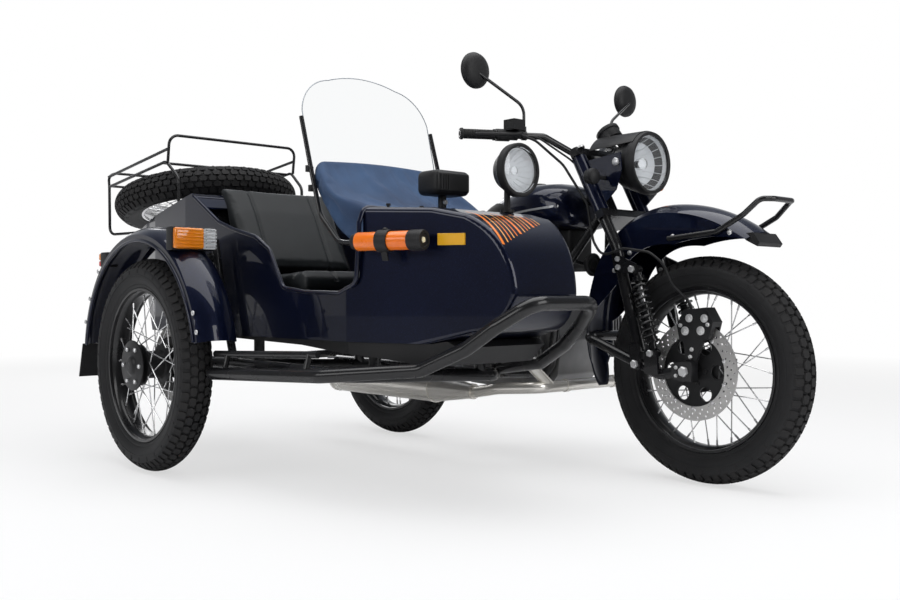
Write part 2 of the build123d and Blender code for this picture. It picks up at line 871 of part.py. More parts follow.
# Struts between the sidecar chassis and the motorcycle: foot on the chassis, head by the frame
STRUT_R = 15
STRUTS = (
    ((930, LEFT_Y + CHASSIS_R + FIT, LEFT_Z - 1.2), (930, -CRADLE_Y - 17, 306)),
    ((500, LEFT_Y + CHASSIS_R + FIT, LEFT_Z - 1.4), (500, -CRADLE_Y - 17, 304)),
    ((FRONT_X - 0.4, LEFT_Y - 47.8, LEFT_Z + 32.8), (FRONT_X - 4, -CRADLE_Y - 27, 624)),
    ((302.9, LEFT_Y + 15.4, LEFT_Z + 16.1), (350, -RAIL_Y - 33, 600)),
)
with BuildPart() as side_struts:
    for foot, head in STRUTS:
        rod(foot, head, STRUT_R)
keep("side_struts", side_struts)

# Sidecar swinging arm with its housing and stub axle
with BuildPart() as side_arm:
    tube(
        [(REAR_X - FIT, RIGHT_Y, RIGHT_Z), (270, RIGHT_Y, RIGHT_Z), (LEAD, HOUSING_Y - 46, TYRE_R)],
        20,
        50,
    )
    rod((LEAD, HOUSING_Y, TYRE_R), (LEAD, HOUSING_Y - 72, TYRE_R), 48)
    rod((LEAD, HOUSING_Y - 10, TYRE_R), (LEAD, -TRACK - HUB_W / 2 - 14, TYRE_R), AXLE_R)
    slab([(222, 350), (250, 350), (250, 396), (222, 396)], SIDE_SHOCK_Y + 14 + FIT, RIGHT_Y - 4)
keep("sidecar_arm", side_arm)

# Spring and damper units at the rear of the motorcycle and on the sidecar
with BuildPart() as chassis_shocks:
    for side in (-1, 1):
        shock((46, 368), (-14, 716), side * SHOCK_Y, 19, 29, EYE_HALF)
    shock((236, 384), (320, 688), SIDE_SHOCK_Y, 18, 26, 14)
keep("chassis_shocks", chassis_shocks)


def plan_outline(inset):
    """Draws half the sidecar's plan and its mirror, from the trunk to the nose."""
    slope = (BODY_HALF - NOSE_HALF) / (NOSE_X - TAPER_X)
    tip = NOSE_X + 30
    reach = BODY_HALF - slope * (tip - TAPER_X)
    half_plan = [
        (-412, BODY_HALF - 53),
        (-200, BODY_HALF - 13),
        (60, BODY_HALF),
        (TAPER_X, BODY_HALF),
        (tip, reach),
    ]
    right = [(x, BODY_Y - w + inset) for x, w in half_plan]
    left = [(x, BODY_Y + w - inset) for x, w in reversed(half_plan)]
    FilletPolyline(*right, *left, close=True, radius=24)


def profile_outline():
    """Draws the sidecar's side view: trunk, cockpit sill, cowl, nose and floor."""
    Polyline(
        (1369, 467),
        (1250, FLOOR_Z),
        (-240, FLOOR_Z),
        (-392, 730),
        (-410, 803),
        (120, 902),
        (290, 806),
        (420, 768),
        (COWL_X, 768),
        (COWL_X, 807),
        (1256, 797),
        (1350, 777),
    )
    ThreePointArc((1350, 777), (1466, 668), (1489, 570))
    ThreePointArc((1489, 570), (1452, 503), (1369, 467))


with BuildPart() as body_outer:
    with BuildSketch(Plane.XZ.offset(-BODY_Y - 400)) as section:
        with BuildLine() as view:
            profile_outline()
        make_face()
    extrude(amount=800)
    with BuildSketch(Plane.XY) as section:
        with BuildLine() as view:
            plan_outline(0)
        make_face()
    extrude(amount=1200, mode=Mode.INTERSECT)
    shoulders = [
        edge
        for edge in body_outer.edges()
        if edge.center().X > COWL_X + 2
        and edge.center().Z > FLOOR_Z + 1
        and abs(edge.center().Y - BODY_Y) > NOSE_HALF / 2
    ]
    fillet(shoulders, EDGE_R)

with BuildPart() as body_inner:
    with BuildSketch(Plane.XZ.offset(-BODY_Y - 400)) as section:
        with BuildLine() as view:
            profile_outline()
        make_face()
        offset(amount=-WALL, kind=Kind.INTERSECTION)
    extrude(amount=800)
    with BuildSketch(Plane.XY) as section:
        with BuildLine() as view:
            plan_outline(WALL)
        make_face()
    extrude(amount=1200, mode=Mode.INTERSECT)

# Sidecar body shell with the cockpit, footwell and trunk open
LID_X0 = -410
LID_X1 = 112
LID_Z0 = 803
SLOPE = tan(radians(LID_TILT))
HINGE_X = 122
HINGE_Z = 914
SILL = (
    (380, 960),
    (380, 779),
    (520, 748),
    (600, 706),
    (676, 590),
    (790, 577),
    (960, 573),
    (1040, 600),
    (COWL_X, 740),
    (COWL_X, 960),
)
with BuildPart() as tub:
    add(body_outer.part)
    add(body_inner.part, mode=Mode.SUBTRACT)
    inner = BODY_HALF - 12
    slab(
        [(190, 1000), (190, 700), (COWL_X, 700), (COWL_X, 1000)],
        BODY_Y - inner,
        BODY_Y + inner,
        Mode.SUBTRACT,
    )
    slab(
        [(1040, 700), (1080, 700), (1080, 798), (1040, 798)],
        BODY_Y - BODY_HALF + 33,
        BODY_Y + BODY_HALF - 33,
        Mode.SUBTRACT,
    )
    slab(
        [(-384, 770), (-384, 900), (86, 980), (86, 866)],
        BODY_Y - BODY_HALF + 79,
        BODY_Y + BODY_HALF - 79,
        Mode.SUBTRACT,
    )
    with BuildSketch(Plane.XZ.offset(-BODY_Y)) as doorway:
        with BuildLine() as sill:
            FilletPolyline(*SILL, close=True, radius=34)
        make_face()
    extrude(amount=2 * BODY_HALF, mode=Mode.SUBTRACT)
    for y in (-104, 104):
        rod((HINGE_X, BODY_Y + y - 16, HINGE_Z), (HINGE_X, BODY_Y + y + 16, HINGE_Z), HINGE_R)
        block((HINGE_X - 5, BODY_Y + y - 16, 890), (HINGE_X + 5, BODY_Y + y + 16, HINGE_Z))
    rod((HINGE_X, BODY_Y - 104, HINGE_Z), (HINGE_X, BODY_Y + 104, HINGE_Z), 3.5)
keep("sidecar_tub", tub)

# Seat frame on the tub's floor: the sloping bulkhead before the trunk and the seat base
SEAT_FLOOR = FLOOR_Z + WALL + FIT
SEAT_IN = BODY_HALF - WALL - FIT
with BuildPart() as seat_frame:
    slab(
        [(147, 872), (157.1, 872), (391.1, SEAT_FLOOR), (379, SEAT_FLOOR)],
        BODY_Y - SEAT_IN,
        BODY_Y + SEAT_IN,
    )
    slab(
        [(386, SEAT_FLOOR), (330, 560), (700, 560), (700, SEAT_FLOOR)],
        BODY_Y - BODY_HALF + 49,
        BODY_Y + BODY_HALF - 49,
    )
keep("seat_frame", seat_frame)

# Stone guard under the body
with BuildPart() as stone_guard:
    with BuildSketch(Plane.XZ.offset(-BODY_Y - 400)) as section:
        Polygon(
            *BELLY,
            (1330, 432),
            (1300, FLOOR_Z + 8),
            (1250, FLOOR_Z - FIT),
            (300, FLOOR_Z - FIT),
            align=None,
        )
    extrude(amount=800)
    with BuildSketch(Plane.XY) as section:
        with BuildLine() as view:
            plan_outline(6)
        make_face()
    extrude(amount=1200, mode=Mode.INTERSECT)
keep("stone_guard", stone_guard)

# Passenger seat
with BuildPart() as cushion:
    slab(
        [
            (352, 596),
            (372, 560 + FIT),
            (700, 560 + FIT),
            (724, 584),
            (718, 628),
            (690, 640),
            (420, 622),
        ],
        BODY_Y - BODY_HALF + 53,
        BODY_Y + BODY_HALF - 53,
    )
keep("passenger_cushion", cushion)

with BuildPart() as backrest:
    slab(
        [
            (281.4, 646),
            (204, 864),
            (162, 924),
            (178, 940),
            (214, 930),
            (264, 850),
            (370, 652),
            (340, 634),
        ],
        BODY_Y - BODY_HALF + 61,
        BODY_Y + BODY_HALF - 61,
    )
keep("passenger_backrest", backrest)

# Windscreen, its posts and the cloth apron to the cowl
LEAN = 14
POST_OFF = BODY_HALF - 25
with BuildPart() as windscreen:
    with BuildSketch(
        Plane((781, BODY_Y, 932), x_dir=(0, 1, 0), z_dir=(cos(radians(LEAN)), 0, sin(radians(LEAN))))
    ) as pane:
        with BuildLine() as outline:
            edge = POST_OFF - 7 - FIT
            Polyline((-edge, 190), (-edge, 0), (edge, 0), (edge, 190))
            ThreePointArc((edge, 190), (edge - 36, 262), (edge - 112, 300))
            ThreePointArc((edge - 112, 300), (0, 322), (112 - edge, 300))
            ThreePointArc((112 - edge, 300), (36 - edge, 262), (-edge, 190))
        make_face()
    extrude(amount=-4)
keep("windscreen", windscreen)

with BuildPart() as posts:
    for side in (-1, 1):
        y = BODY_Y + side * POST_OFF
        tube([(740, y, 1094), (788, y, 944), (838, y, 798), (930, y, 716), (COWL_X - 1, y, 708)], 7, 60)
keep("screen_posts", posts)

with BuildPart() as apron:
    edge = POST_OFF - 7 - FIT
    slab(
        [(786, 966), (COWL_X - FIT, 806), (COWL_X - FIT, 716), (934, 728), (852, 800), (800, 930)],
        BODY_Y - edge,
        BODY_Y + edge,
    )
    slab(
        [(700, 950), (794, 950), (COWL_X + 4, 796), (COWL_X + 4, 600), (700, 600)],
        BODY_Y - edge + 5,
        BODY_Y + edge - 5,
        Mode.SUBTRACT,
    )
keep("apron", apron)

# Sidecar mudguard, flap and lamps
SIDE_GUARD_R = 445
side_hub = Axis((LEAD, 0, TYRE_R), (0, 1, 0))
with BuildPart() as side_fender:
    with BuildSketch(Plane.YZ.offset(LEAD)) as section:
        channel(GUARD_Y, TYRE_R + SIDE_GUARD_R, GUARD_W, 26, 46)
    revolve(section.sketch.rotate(side_hub, 78), axis=side_hub, revolution_arc=-161)
keep("sidecar_fender", side_fender)

with BuildPart() as mud_flap:
    slab([(-264, 396.3), (-270, 396.3), (-304, 278), (-298, 278)], GUARD_Y - 62, GUARD_Y + 62)
keep("mud_flap", mud_flap)

# Lamp housings on the rear mudguards: x range, y range, z range, wheel centre, mudguard radius
side_hub_at = (LEAD, TYRE_R)
MARKERS = (
    ((395, 452), (GUARD_Y - 70, GUARD_Y + 78), (704, 776), side_hub_at, SIDE_GUARD_R),
    ((-200, -120), (GUARD_Y - 36, GUARD_Y + 4), (664, 716), side_hub_at, SIDE_GUARD_R),
    ((-404, -300), (-52, 52), (560, 640), (0, TYRE_R), REAR_GUARD_R),
)
with BuildPart() as lamps:
    for xs, ys, zs, hub, radius in MARKERS:
        block((xs[0], ys[0], zs[0]), (xs[1], ys[1], zs[1]))
        rod((hub[0], ys[0] - 40, hub[1]), (hub[0], ys[1] + 40, hub[1]), radius + FIT, Mode.SUBTRACT)
keep("marker_lamps", lamps)

# Bumper hoop round the nose, its right end running back as a step to the sidecar wheel
HOOP_R = 19
STEP_X = 530
with BuildPart() as bumper:
    half_hoop = [
        (1256, BODY_HALF - 49, 374),
        (1384, BODY_HALF - 89, 432),
        (1466, BODY_HALF - 115, 490),
        (1548, BODY_HALF - 163, 548),
    ]
    step = [(STEP_X, -TRACK + 22, 334), (FRONT_X - 30, RIGHT_Y - 62, 350)]
    tail = (FRONT_X + CHASSIS_R + HOOP_R - 17.4, BODY_Y + BODY_HALF - 5, 346)
    right = [(x, BODY_Y - w, z) for x, w, z in half_hoop]
    left = [(x, BODY_Y + w, z) for x, w, z in reversed(half_hoop)]
    tube(step + right + left + [tail], HOOP_R, 60)
    slope = (step[1][1] - step[0][1]) / (step[1][0] - step[0][0])
    for x in (STEP_X + 60, FRONT_X - 90):
        along = (x - step[0][0]) / (step[1][0] - step[0][0])
        y = step[0][1] + slope * (x - step[0][0])
        z = step[0][2] + along * (step[1][2] - step[0][2])
        rod((x, RIGHT_Y - CHASSIS_R - FIT, RIGHT_Z), (x, y, z), 11)
        rod((x, y, z), (x, y + 14, z + 58), 8)
    rail = [
        (STEP_X, step[0][1] + 14, step[0][2] + 58),
        (FRONT_X - 60, step[1][1] + 14, step[1][2] + 56),
    ]
    tube(rail, 10, 20)
keep("nose_bumper", bumper)

# Lamps and torch on the cowl
def cowl_z(x):
    """Height of the cowl's top."""
    return 807 - (x - COWL_X) * 10 / 203


SPOT_Y = BODY_Y + 100
SPOT_Z = 914
SPOT_R = 74
with BuildPart() as spot_lamp:
    turned(
        [
            (1226, 0),
            (1226, 20),
            (1240, 50),
            (1272, 69),
            (1278, SPOT_R),
            (1300, SPOT_R),
            (1300, SPOT_R - 9),
            (1284, SPOT_R - 11),
            (1250, 30),
            (1244, 0),
        ],
        SPOT_Y,
        SPOT_Z,
    )
    rod((1228, SPOT_Y, SPOT_Z), (1204, SPOT_Y, SPOT_Z), 9)
    foot = cowl_z(1226) + FIT
    rod((1246, SPOT_Y, foot), (1246, SPOT_Y, SPOT_Z - 50), 9)
    rod((1246, SPOT_Y, foot), (1246, SPOT_Y, foot + 8), 20)
keep("spot_lamp", spot_lamp)

with BuildPart() as spot_glass:
    glass = SPOT_R - 10 - FIT
    turned([(1290, 0), (1290, glass - 0.8), (1299, glass), (1303, 36), (1305, 0)], SPOT_Y, SPOT_Z)
keep("spot_glass", spot_glass)

with BuildPart() as work_lamp:
    block((1044, BODY_Y - 65, 850), (1140, BODY_Y + 65, 920))
    foot = cowl_z(1058) + FIT
    rod((1084, BODY_Y, foot), (1084, BODY_Y, 852), 12)
    rod((1084, BODY_Y, foot), (1084, BODY_Y, foot + 8), 26)
keep("work_lamp", work_lamp)

with BuildPart() as torch:
    slope = (BODY_HALF - NOSE_HALF) / (NOSE_X - TAPER_X)
    away = 44

    def beside(x, gap):
        """A point so far off the tapered side panel."""
        return (x, BODY_Y - BODY_HALF + slope * (x - TAPER_X) - gap, 710)

    rod(beside(1062, away), beside(1240, away), 25)
    rod(beside(1236, away), beside(1278, away), 27)
    rod(beside(1144, away), beside(1178, away), 30)
    foot = Vector(*beside(1161, away))
    inward = Vector(-slope, 1, 0).normalized()
    rod(foot, foot + inward * (away / (1 + slope**2) ** 0.5 - FIT), 12)
keep("torch", torch)

# Trunk lid with its hinge barrel and the spindle that holds the spare wheel
def lid_z(x, above=0):
    """Height of a plane parallel to the trunk's top, so far above it."""
    return LID_Z0 + (x - LID_X0) * 99 / 530 + above / cos(radians(LID_TILT))


with BuildPart() as lid:
    slab(
        [
            (LID_X0, lid_z(LID_X0)),
            (LID_X1 - 4, lid_z(LID_X1 - 4)),
            (LID_X1 - 6, lid_z(LID_X1 - 6, LID_T)),
            (LID_X0, lid_z(LID_X0, LID_T)),
        ],
        BODY_Y - 300,
        BODY_Y + 300,
    )
    with BuildSketch(Plane.XY) as section:
        with BuildLine() as view:
            plan_outline(0)
        make_face()
    extrude(amount=1200, mode=Mode.INTERSECT)
    rod((HINGE_X, BODY_Y - 84, HINGE_Z), (HINGE_X, BODY_Y + 84, HINGE_Z), HINGE_R)
    block((LID_X1 - 14, BODY_Y - 84, HINGE_Z - 5), (HINGE_X, BODY_Y + 84, HINGE_Z + 2))
    rod((HINGE_X, BODY_Y - 90, HINGE_Z), (HINGE_X, BODY_Y + 90, HINGE_Z), 3.5 + RUN, Mode.SUBTRACT)
    normal = Vector(-sin(radians(LID_TILT)), 0, cos(radians(LID_TILT)))
    middle = Vector(*SPARE_AT)
    drop = (SPARE_AT[2] - lid_z(SPARE_AT[0], LID_T)) * cos(radians(LID_TILT))
    rod(middle - normal * (drop + 4), middle - normal * (HUB_W / 2 + FIT), 46)
    rod(middle - normal * (HUB_W / 2 + 10), middle + normal * (HUB_W / 2 + 20), AXLE_R)
    rod(middle + normal * (HUB_W / 2 + FIT), middle + normal * (HUB_W / 2 + 14), 22)
keep("trunk_lid", lid)

# Luggage rack of thin rod above the spare wheel
RACK_R = 5.5
with BuildPart() as rack:
    w = BODY_HALF - 13
    front_foot = -26
    for side in (-1, 1):
        y = BODY_Y + side * w
        low = lid_z(front_foot, LID_T) + 1.4
        tube(
            [
                (-606, y, 994),
                (-112, y, 1046),
                (front_foot, y - side * 6, low + 90),
                (front_foot, y - side * 6, low),
            ],
            RACK_R,
            40,
        )
        tube([(-92, y, 1090), (-608, y, 1034)], RACK_R, 20)
        tube(
            [
                (-604, y, 998),
                (-600, y, 806),
                (-480, BODY_Y + side * (w - 37), 808),
                (LID_X0 - 3, BODY_Y + side * (w - 72), 810),
            ],
            RACK_R,
            30,
        )
    tube(
        [
            (-98, BODY_Y - w, 1042),
            (-84, BODY_Y - w, 1138),
            (-84, BODY_Y + w, 1138),
            (-98, BODY_Y + w, 1042),
        ],
        RACK_R - 0.3,
        34,
    )
    tube(
        [
            (-604, BODY_Y - w, 992),
            (-614, BODY_Y - w, 1050),
            (-614, BODY_Y + w, 1050),
            (-604, BODY_Y + w, 992),
        ],
        RACK_R - 0.3,
        34,
    )
    for x, z in ((-140, 1043), (-370, 1018.8), (-590, 995.7)):
        tube([(x, BODY_Y - w, z), (x, BODY_Y + w, z)], RACK_R - 0.6, 20)
keep("luggage_rack", rack)
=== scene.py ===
import math

import bmesh
import bpy
import numpy as np
from mathutils import Matrix, Vector


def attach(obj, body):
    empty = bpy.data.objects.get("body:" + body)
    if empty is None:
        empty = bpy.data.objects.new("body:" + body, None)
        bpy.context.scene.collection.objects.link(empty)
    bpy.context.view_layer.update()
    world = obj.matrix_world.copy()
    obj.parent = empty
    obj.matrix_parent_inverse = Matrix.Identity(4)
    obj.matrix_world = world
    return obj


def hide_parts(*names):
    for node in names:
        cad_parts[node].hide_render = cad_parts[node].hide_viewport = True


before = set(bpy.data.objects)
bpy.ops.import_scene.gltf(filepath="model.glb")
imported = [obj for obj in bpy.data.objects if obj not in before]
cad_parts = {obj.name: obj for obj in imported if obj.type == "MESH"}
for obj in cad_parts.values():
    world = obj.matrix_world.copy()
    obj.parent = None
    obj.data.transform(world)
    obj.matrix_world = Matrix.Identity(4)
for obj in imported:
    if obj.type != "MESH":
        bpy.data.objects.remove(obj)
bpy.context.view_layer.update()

# Studio: the camera stands low at the right front of the outfit, as in the photograph.
# A pale floor fades into a white room, with one large soft light overhead and three around it.
scene = bpy.context.scene
scene.view_settings.view_transform = "Standard"
eye = bpy.data.cameras.new("eye")
eye.sensor_width = 36
eye.lens = 39.72
camera = bpy.data.objects.new("eye", eye)
scene.collection.objects.link(camera)
camera.location = (2.6167, -2.1827, 0.5698)
turn, dip = math.radians(48.15), math.radians(0.32)
back = Vector((math.sin(turn) * math.cos(dip), -math.cos(turn) * math.cos(dip), math.sin(dip)))
camera.rotation_mode = "QUATERNION"
camera.rotation_quaternion = (-back).to_track_quat("-Z", "Y")
scene.camera = camera


def soft_light(name, place, target, size, power):
    """Hangs one soft box that points at a place on the outfit."""
    lamp = bpy.data.lights.new(name, "AREA")
    lamp.shape = "RECTANGLE"
    lamp.size, lamp.size_y = size
    lamp.energy = power
    holder = bpy.data.objects.new(name, lamp)
    holder.location = place
    holder.visible_transmission = False
    holder.rotation_mode = "QUATERNION"
    holder.rotation_quaternion = (Vector(target) - Vector(place)).to_track_quat("-Z", "Y")
    scene.collection.objects.link(holder)


soft_light("overhead_box", (0.3, -0.2, 3.6), (0, 0, 0.4), (4.6, 3.4), 125)
soft_light("nose_box", (4.2, 0.6, 2.0), (0.4, 0.2, 0.5), (2.2, 2.0), 52)
soft_light("side_box", (0.2, -4.2, 2.0), (0, 0, 0.5), (3.4, 1.2), 40)
soft_light("rear_box", (-4.0, 1.6, 2.2), (-0.3, 0.2, 0.6), (2.4, 2.0), 45)


def shader_node(tree, kind, feeds):
    """Adds a node to a tree; each socket in feeds takes a value or another node's output."""
    made = tree.nodes.new(f"ShaderNode{kind}")
    for socket, feed in feeds.items():
        if isinstance(feed, bpy.types.NodeSocket):
            tree.links.new(feed, made.inputs[socket])
        else:
            made.inputs[socket].default_value = feed
    return made


def two_shades(tree, value, low, high):
    """Turns a value into a colour between two shades, each given as (place, colour)."""
    ramp = shader_node(tree, "ValToRGB", {"Fac": value})
    for stop, (place, colour) in zip(ramp.color_ramp.elements, (low, high)):
        stop.position = place
        stop.color = (*colour, 1)
    return ramp.outputs["Color"]


def seen_plainly(tree):
    """Is 1 for what is seen straight or through glass, and 0 for the light that falls on things."""
    rays = shader_node(tree, "LightPath", {})
    seen = shader_node(tree, "Math", {0: rays.outputs["Is Camera Ray"], 1: rays.outputs["Is Transmission Ray"]})
    seen.operation = "MAXIMUM"
    return seen.outputs[0]


room = bpy.data.worlds.new("room")
room.use_nodes = True
scene.world = room
tree = room.node_tree
tree.nodes.clear()
white = shader_node(tree, "Background", {"Color": (1, 1, 1, 1), "Strength": 1.0})
fill = shader_node(tree, "Background", {"Color": (0.95, 0.97, 1, 1), "Strength": 0.30})
# Gloss sees the same white backdrop behind the outfit, in a room that is dim elsewhere
BACKDROP_WAY = (-0.745, 0.667, 0)
looking = shader_node(tree, "TexCoord", {}).outputs["Generated"]
upward = shader_node(tree, "SeparateXYZ", {0: looking}).outputs["Z"]
walls = two_shades(tree, upward, (0.0, (1.0, 1.0, 1.0)), (0.60, (0.22, 0.24, 0.28)))
behind = shader_node(tree, "VectorMath", {0: looking, 1: BACKDROP_WAY})
behind.operation = "DOT_PRODUCT"
wall_share = shader_node(tree, "MapRange", {
    "Value": behind.outputs["Value"], "From Min": -0.1, "From Max": 0.75, "To Min": 0.11, "To Max": 1.0,
})
wall_share.interpolation_type = "SMOOTHSTEP"
mirror_room = shader_node(tree, "Background", {"Color": walls, "Strength": wall_share.outputs["Result"]})
glossy = shader_node(tree, "LightPath", {}).outputs["Is Glossy Ray"]
gloss_or_fill = shader_node(tree, "MixShader", {0: glossy, 1: fill.outputs[0], 2: mirror_room.outputs[0]})
choice = shader_node(tree, "MixShader", {0: seen_plainly(tree), 1: gloss_or_fill.outputs[0], 2: white.outputs[0]})
shader_node(tree, "OutputWorld", {"Surface": choice.outputs[0]})

FLOOR_RADIUS, FLOOR_SIDES, FLOOR_HEIGHT = 24, 96, -0.0006
disc = bpy.data.meshes.new("floor")
rim = []
for i in range(FLOOR_SIDES):
    a = i * math.tau / FLOOR_SIDES
    rim.append((FLOOR_RADIUS * math.cos(a), FLOOR_RADIUS * math.sin(a), FLOOR_HEIGHT))
disc.from_pydata(rim, [], [list(range(FLOOR_SIDES))])
floor = bpy.data.objects.new("floor", disc)
scene.collection.objects.link(floor)
pale = bpy.data.materials.new("pale_floor")
pale.use_nodes = True
tree = pale.node_tree
tree.nodes.clear()
reach = shader_node(tree, "VectorMath", {0: shader_node(tree, "TexCoord", {}).outputs["Object"]})
reach.operation = "LENGTH"
fade = shader_node(tree, "MapRange", {
    "Value": reach.outputs["Value"], "From Min": 1.6, "From Max": 7.0, "To Min": 0.62, "To Max": 1.0,
})
share = shader_node(tree, "Math", {0: fade.outputs["Result"], 1: seen_plainly(tree)})
share.operation = "MULTIPLY"
matt = shader_node(tree, "BsdfDiffuse", {"Color": (0.86, 0.86, 0.87, 1)})
glow = shader_node(tree, "Emission", {"Color": (1, 1, 1, 1), "Strength": 1.0})
mix = shader_node(tree, "MixShader", {0: share.outputs[0], 1: matt.outputs[0], 2: glow.outputs[0]})
shader_node(tree, "OutputMaterial", {"Surface": mix.outputs[0]})
disc.materials.append(pale)

# Tyres: four black rubber tyres with a chunky block tread and plain ribbed sidewalls.
# Each is a moulded carcass with its rows of blocks standing on it, cut by slanted grooves.
CROWN = 0.343
AXLE_HEIGHT = 343
SIDE_WHEEL_X = 173


def spot(x, y, z):
    """A place in metres from its millimetres on the drawing, which start at the rear axle."""
    return Vector(((x - 596) / 1000, (y + 394) / 1000, z / 1000))


def raised(tree, pattern, strength, depth):
    """Lets a pattern stand off the surface as fine relief."""
    bump = shader_node(tree, "Bump", {"Height": pattern, "Strength": strength, "Distance": depth})
    tree.links.new(bump.outputs["Normal"], tree.nodes["Principled BSDF"].inputs["Normal"])


def finish(
    name, colour, shade, rough, metal=0.0, grain=0.0, scale=400.0, depth=0.0002, coat=0.0, blotch=9.0, shine=0.5
):
    """Mixes one finish: two close shades in soft blotches, a varied gloss and a fine grain."""
    made = bpy.data.materials.new(name)
    made.use_nodes = True
    tree = made.node_tree
    skin = tree.nodes["Principled BSDF"]
    skin.inputs["Metallic"].default_value = metal
    skin.inputs["Coat Weight"].default_value = coat
    skin.inputs["Specular IOR Level"].default_value = shine
    skin.inputs["Coat Roughness"].default_value = 0.04
    where = shader_node(tree, "TexCoord", {}).outputs["Object"]
    cloud = shader_node(tree, "TexNoise", {"Vector": where, "Scale": blotch, "Detail": 6}).outputs["Fac"]
    tree.links.new(two_shades(tree, cloud, (0.3, colour), (0.7, shade)), skin.inputs["Base Color"])
    gloss = shader_node(tree, "MapRange", {"Value": cloud, "To Min": rough[0], "To Max": rough[1]})
    tree.links.new(gloss.outputs["Result"], skin.inputs["Roughness"])
    if grain:
        speck = shader_node(tree, "TexNoise", {"Vector": where, "Scale": scale, "Detail": 3})
        raised(tree, speck.outputs["Fac"], grain, depth)
    return made


def turned(outline, steps=64, closed=True):
    """Turns an outline of (along, radius) about the Y axis; returns its points and faces."""
    points, faces, count = [], [], len(outline)
    for i in range(steps):
        a = math.tau * i / steps
        points += [Vector((r * math.cos(a), y, r * math.sin(a))) for y, r in outline]
    for i in range(steps):
        for k in range(count if closed else count - 1):
            here, there = i * count, (i + 1) % steps * count
            nxt = (k + 1) % count
            faces.append((here + k, here + nxt, there + nxt, there + k))
    return points, faces


def placed(shape, matrix):
    """Sets a shape in its place."""
    return [matrix @ p for p in shape[0]], shape[1]


def assemble(name, body, shapes, stands_for=(), smooth=38, bevel=0.0):
    """Joins (shape, finish) pairs into one piece that rides on a body and may stand for nodes."""
    mesh = bpy.data.meshes.new(name)
    kinds, points, faces, marks = [], [], [], []
    for (verts, polys), kind in shapes:
        if kind not in kinds:
            kinds.append(kind)
        base = len(points)
        points += [tuple(v) for v in verts]
        faces += [tuple(base + i for i in poly) for poly in polys]
        marks += [kinds.index(kind)] * len(polys)
    mesh.from_pydata(points, [], faces)
    for kind in kinds:
        mesh.materials.append(kind)
    mesh.polygons.foreach_set("material_index", marks)
    work = bmesh.new()
    work.from_mesh(mesh)
    bmesh.ops.remove_doubles(work, verts=work.verts, dist=1e-6)
    bmesh.ops.dissolve_degenerate(work, edges=work.edges, dist=1e-7)
    bmesh.ops.recalc_face_normals(work, faces=work.faces)
    work.to_mesh(mesh)
    work.free()
    mesh.shade_smooth()
    mesh.set_sharp_from_angle(angle=math.radians(smooth))
    piece = bpy.data.objects.new(name, mesh)
    scene.collection.objects.link(piece)
    if bevel:
        edge = piece.modifiers.new("edge", "BEVEL")
        edge.width = bevel
        edge.segments = 2
        edge.limit_method = "ANGLE"
        edge.angle_limit = math.radians(40)
        edge.harden_normals = True
    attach(piece, body)
    if stands_for:
        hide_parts(*stands_for)
    return piece


def tread_block(corners, low):
    """One tapered block: its corners as (across, angle) on the crown, and its height off the carcass."""
    crown = lambda y: CROWN - 0.0004 - 9.5 * y * y * (1 + 60 * y * y)
    count = len(corners)
    mid_y = sum(y for y, a in corners) / count
    mid_a = sum(a for y, a in corners) / count
    points = []
    for sunk, grow in ((low, 1.0), (0.0, 0.91)):
        for y, a in corners:
            y, a = mid_y + (y - mid_y) * grow, mid_a + (a - mid_a) * grow
            r = crown(y) - sunk
            points.append(Vector((r * math.cos(a), y, r * math.sin(a))))
    faces = [tuple(range(count, 2 * count))]
    faces += [(k, (k + 1) % count, (k + 1) % count + count, k + count) for k in range(count)]
    return points, faces


rubber_wall = finish(
    "tyre_rubber", (0.010, 0.010, 0.011), (0.016, 0.016, 0.017), (0.5, 0.68), grain=0.25, scale=900, shine=0.3
)
rubber_tread = finish(
    "tyre_tread", (0.013, 0.013, 0.014), (0.021, 0.020, 0.020), (0.62, 0.85), grain=0.5, scale=700, shine=0.3
)
GROOVE = 0.0075
half_wall = [
    (0.036, 0.2480), (0.040, 0.2520), (0.0425, 0.2575), (0.0425, 0.2610), (0.0450, 0.2640), (0.0496, 0.2760),
    (0.0520, 0.2860), (0.0520, 0.2875), (0.0534, 0.2880), (0.0534, 0.2900), (0.0526, 0.2906), (0.0528, 0.3000),
    (0.0524, 0.3050), (0.0508, 0.3095), (0.0480, 0.3125), (0.0440, 0.3158), (0.0340, 0.3238), (0.0180, 0.3322),
]
carcass = [(-y, r) for y, r in half_wall] + [(0.0, 0.3348)] + [(y, r) for y, r in reversed(half_wall)]
PITCHES = 66
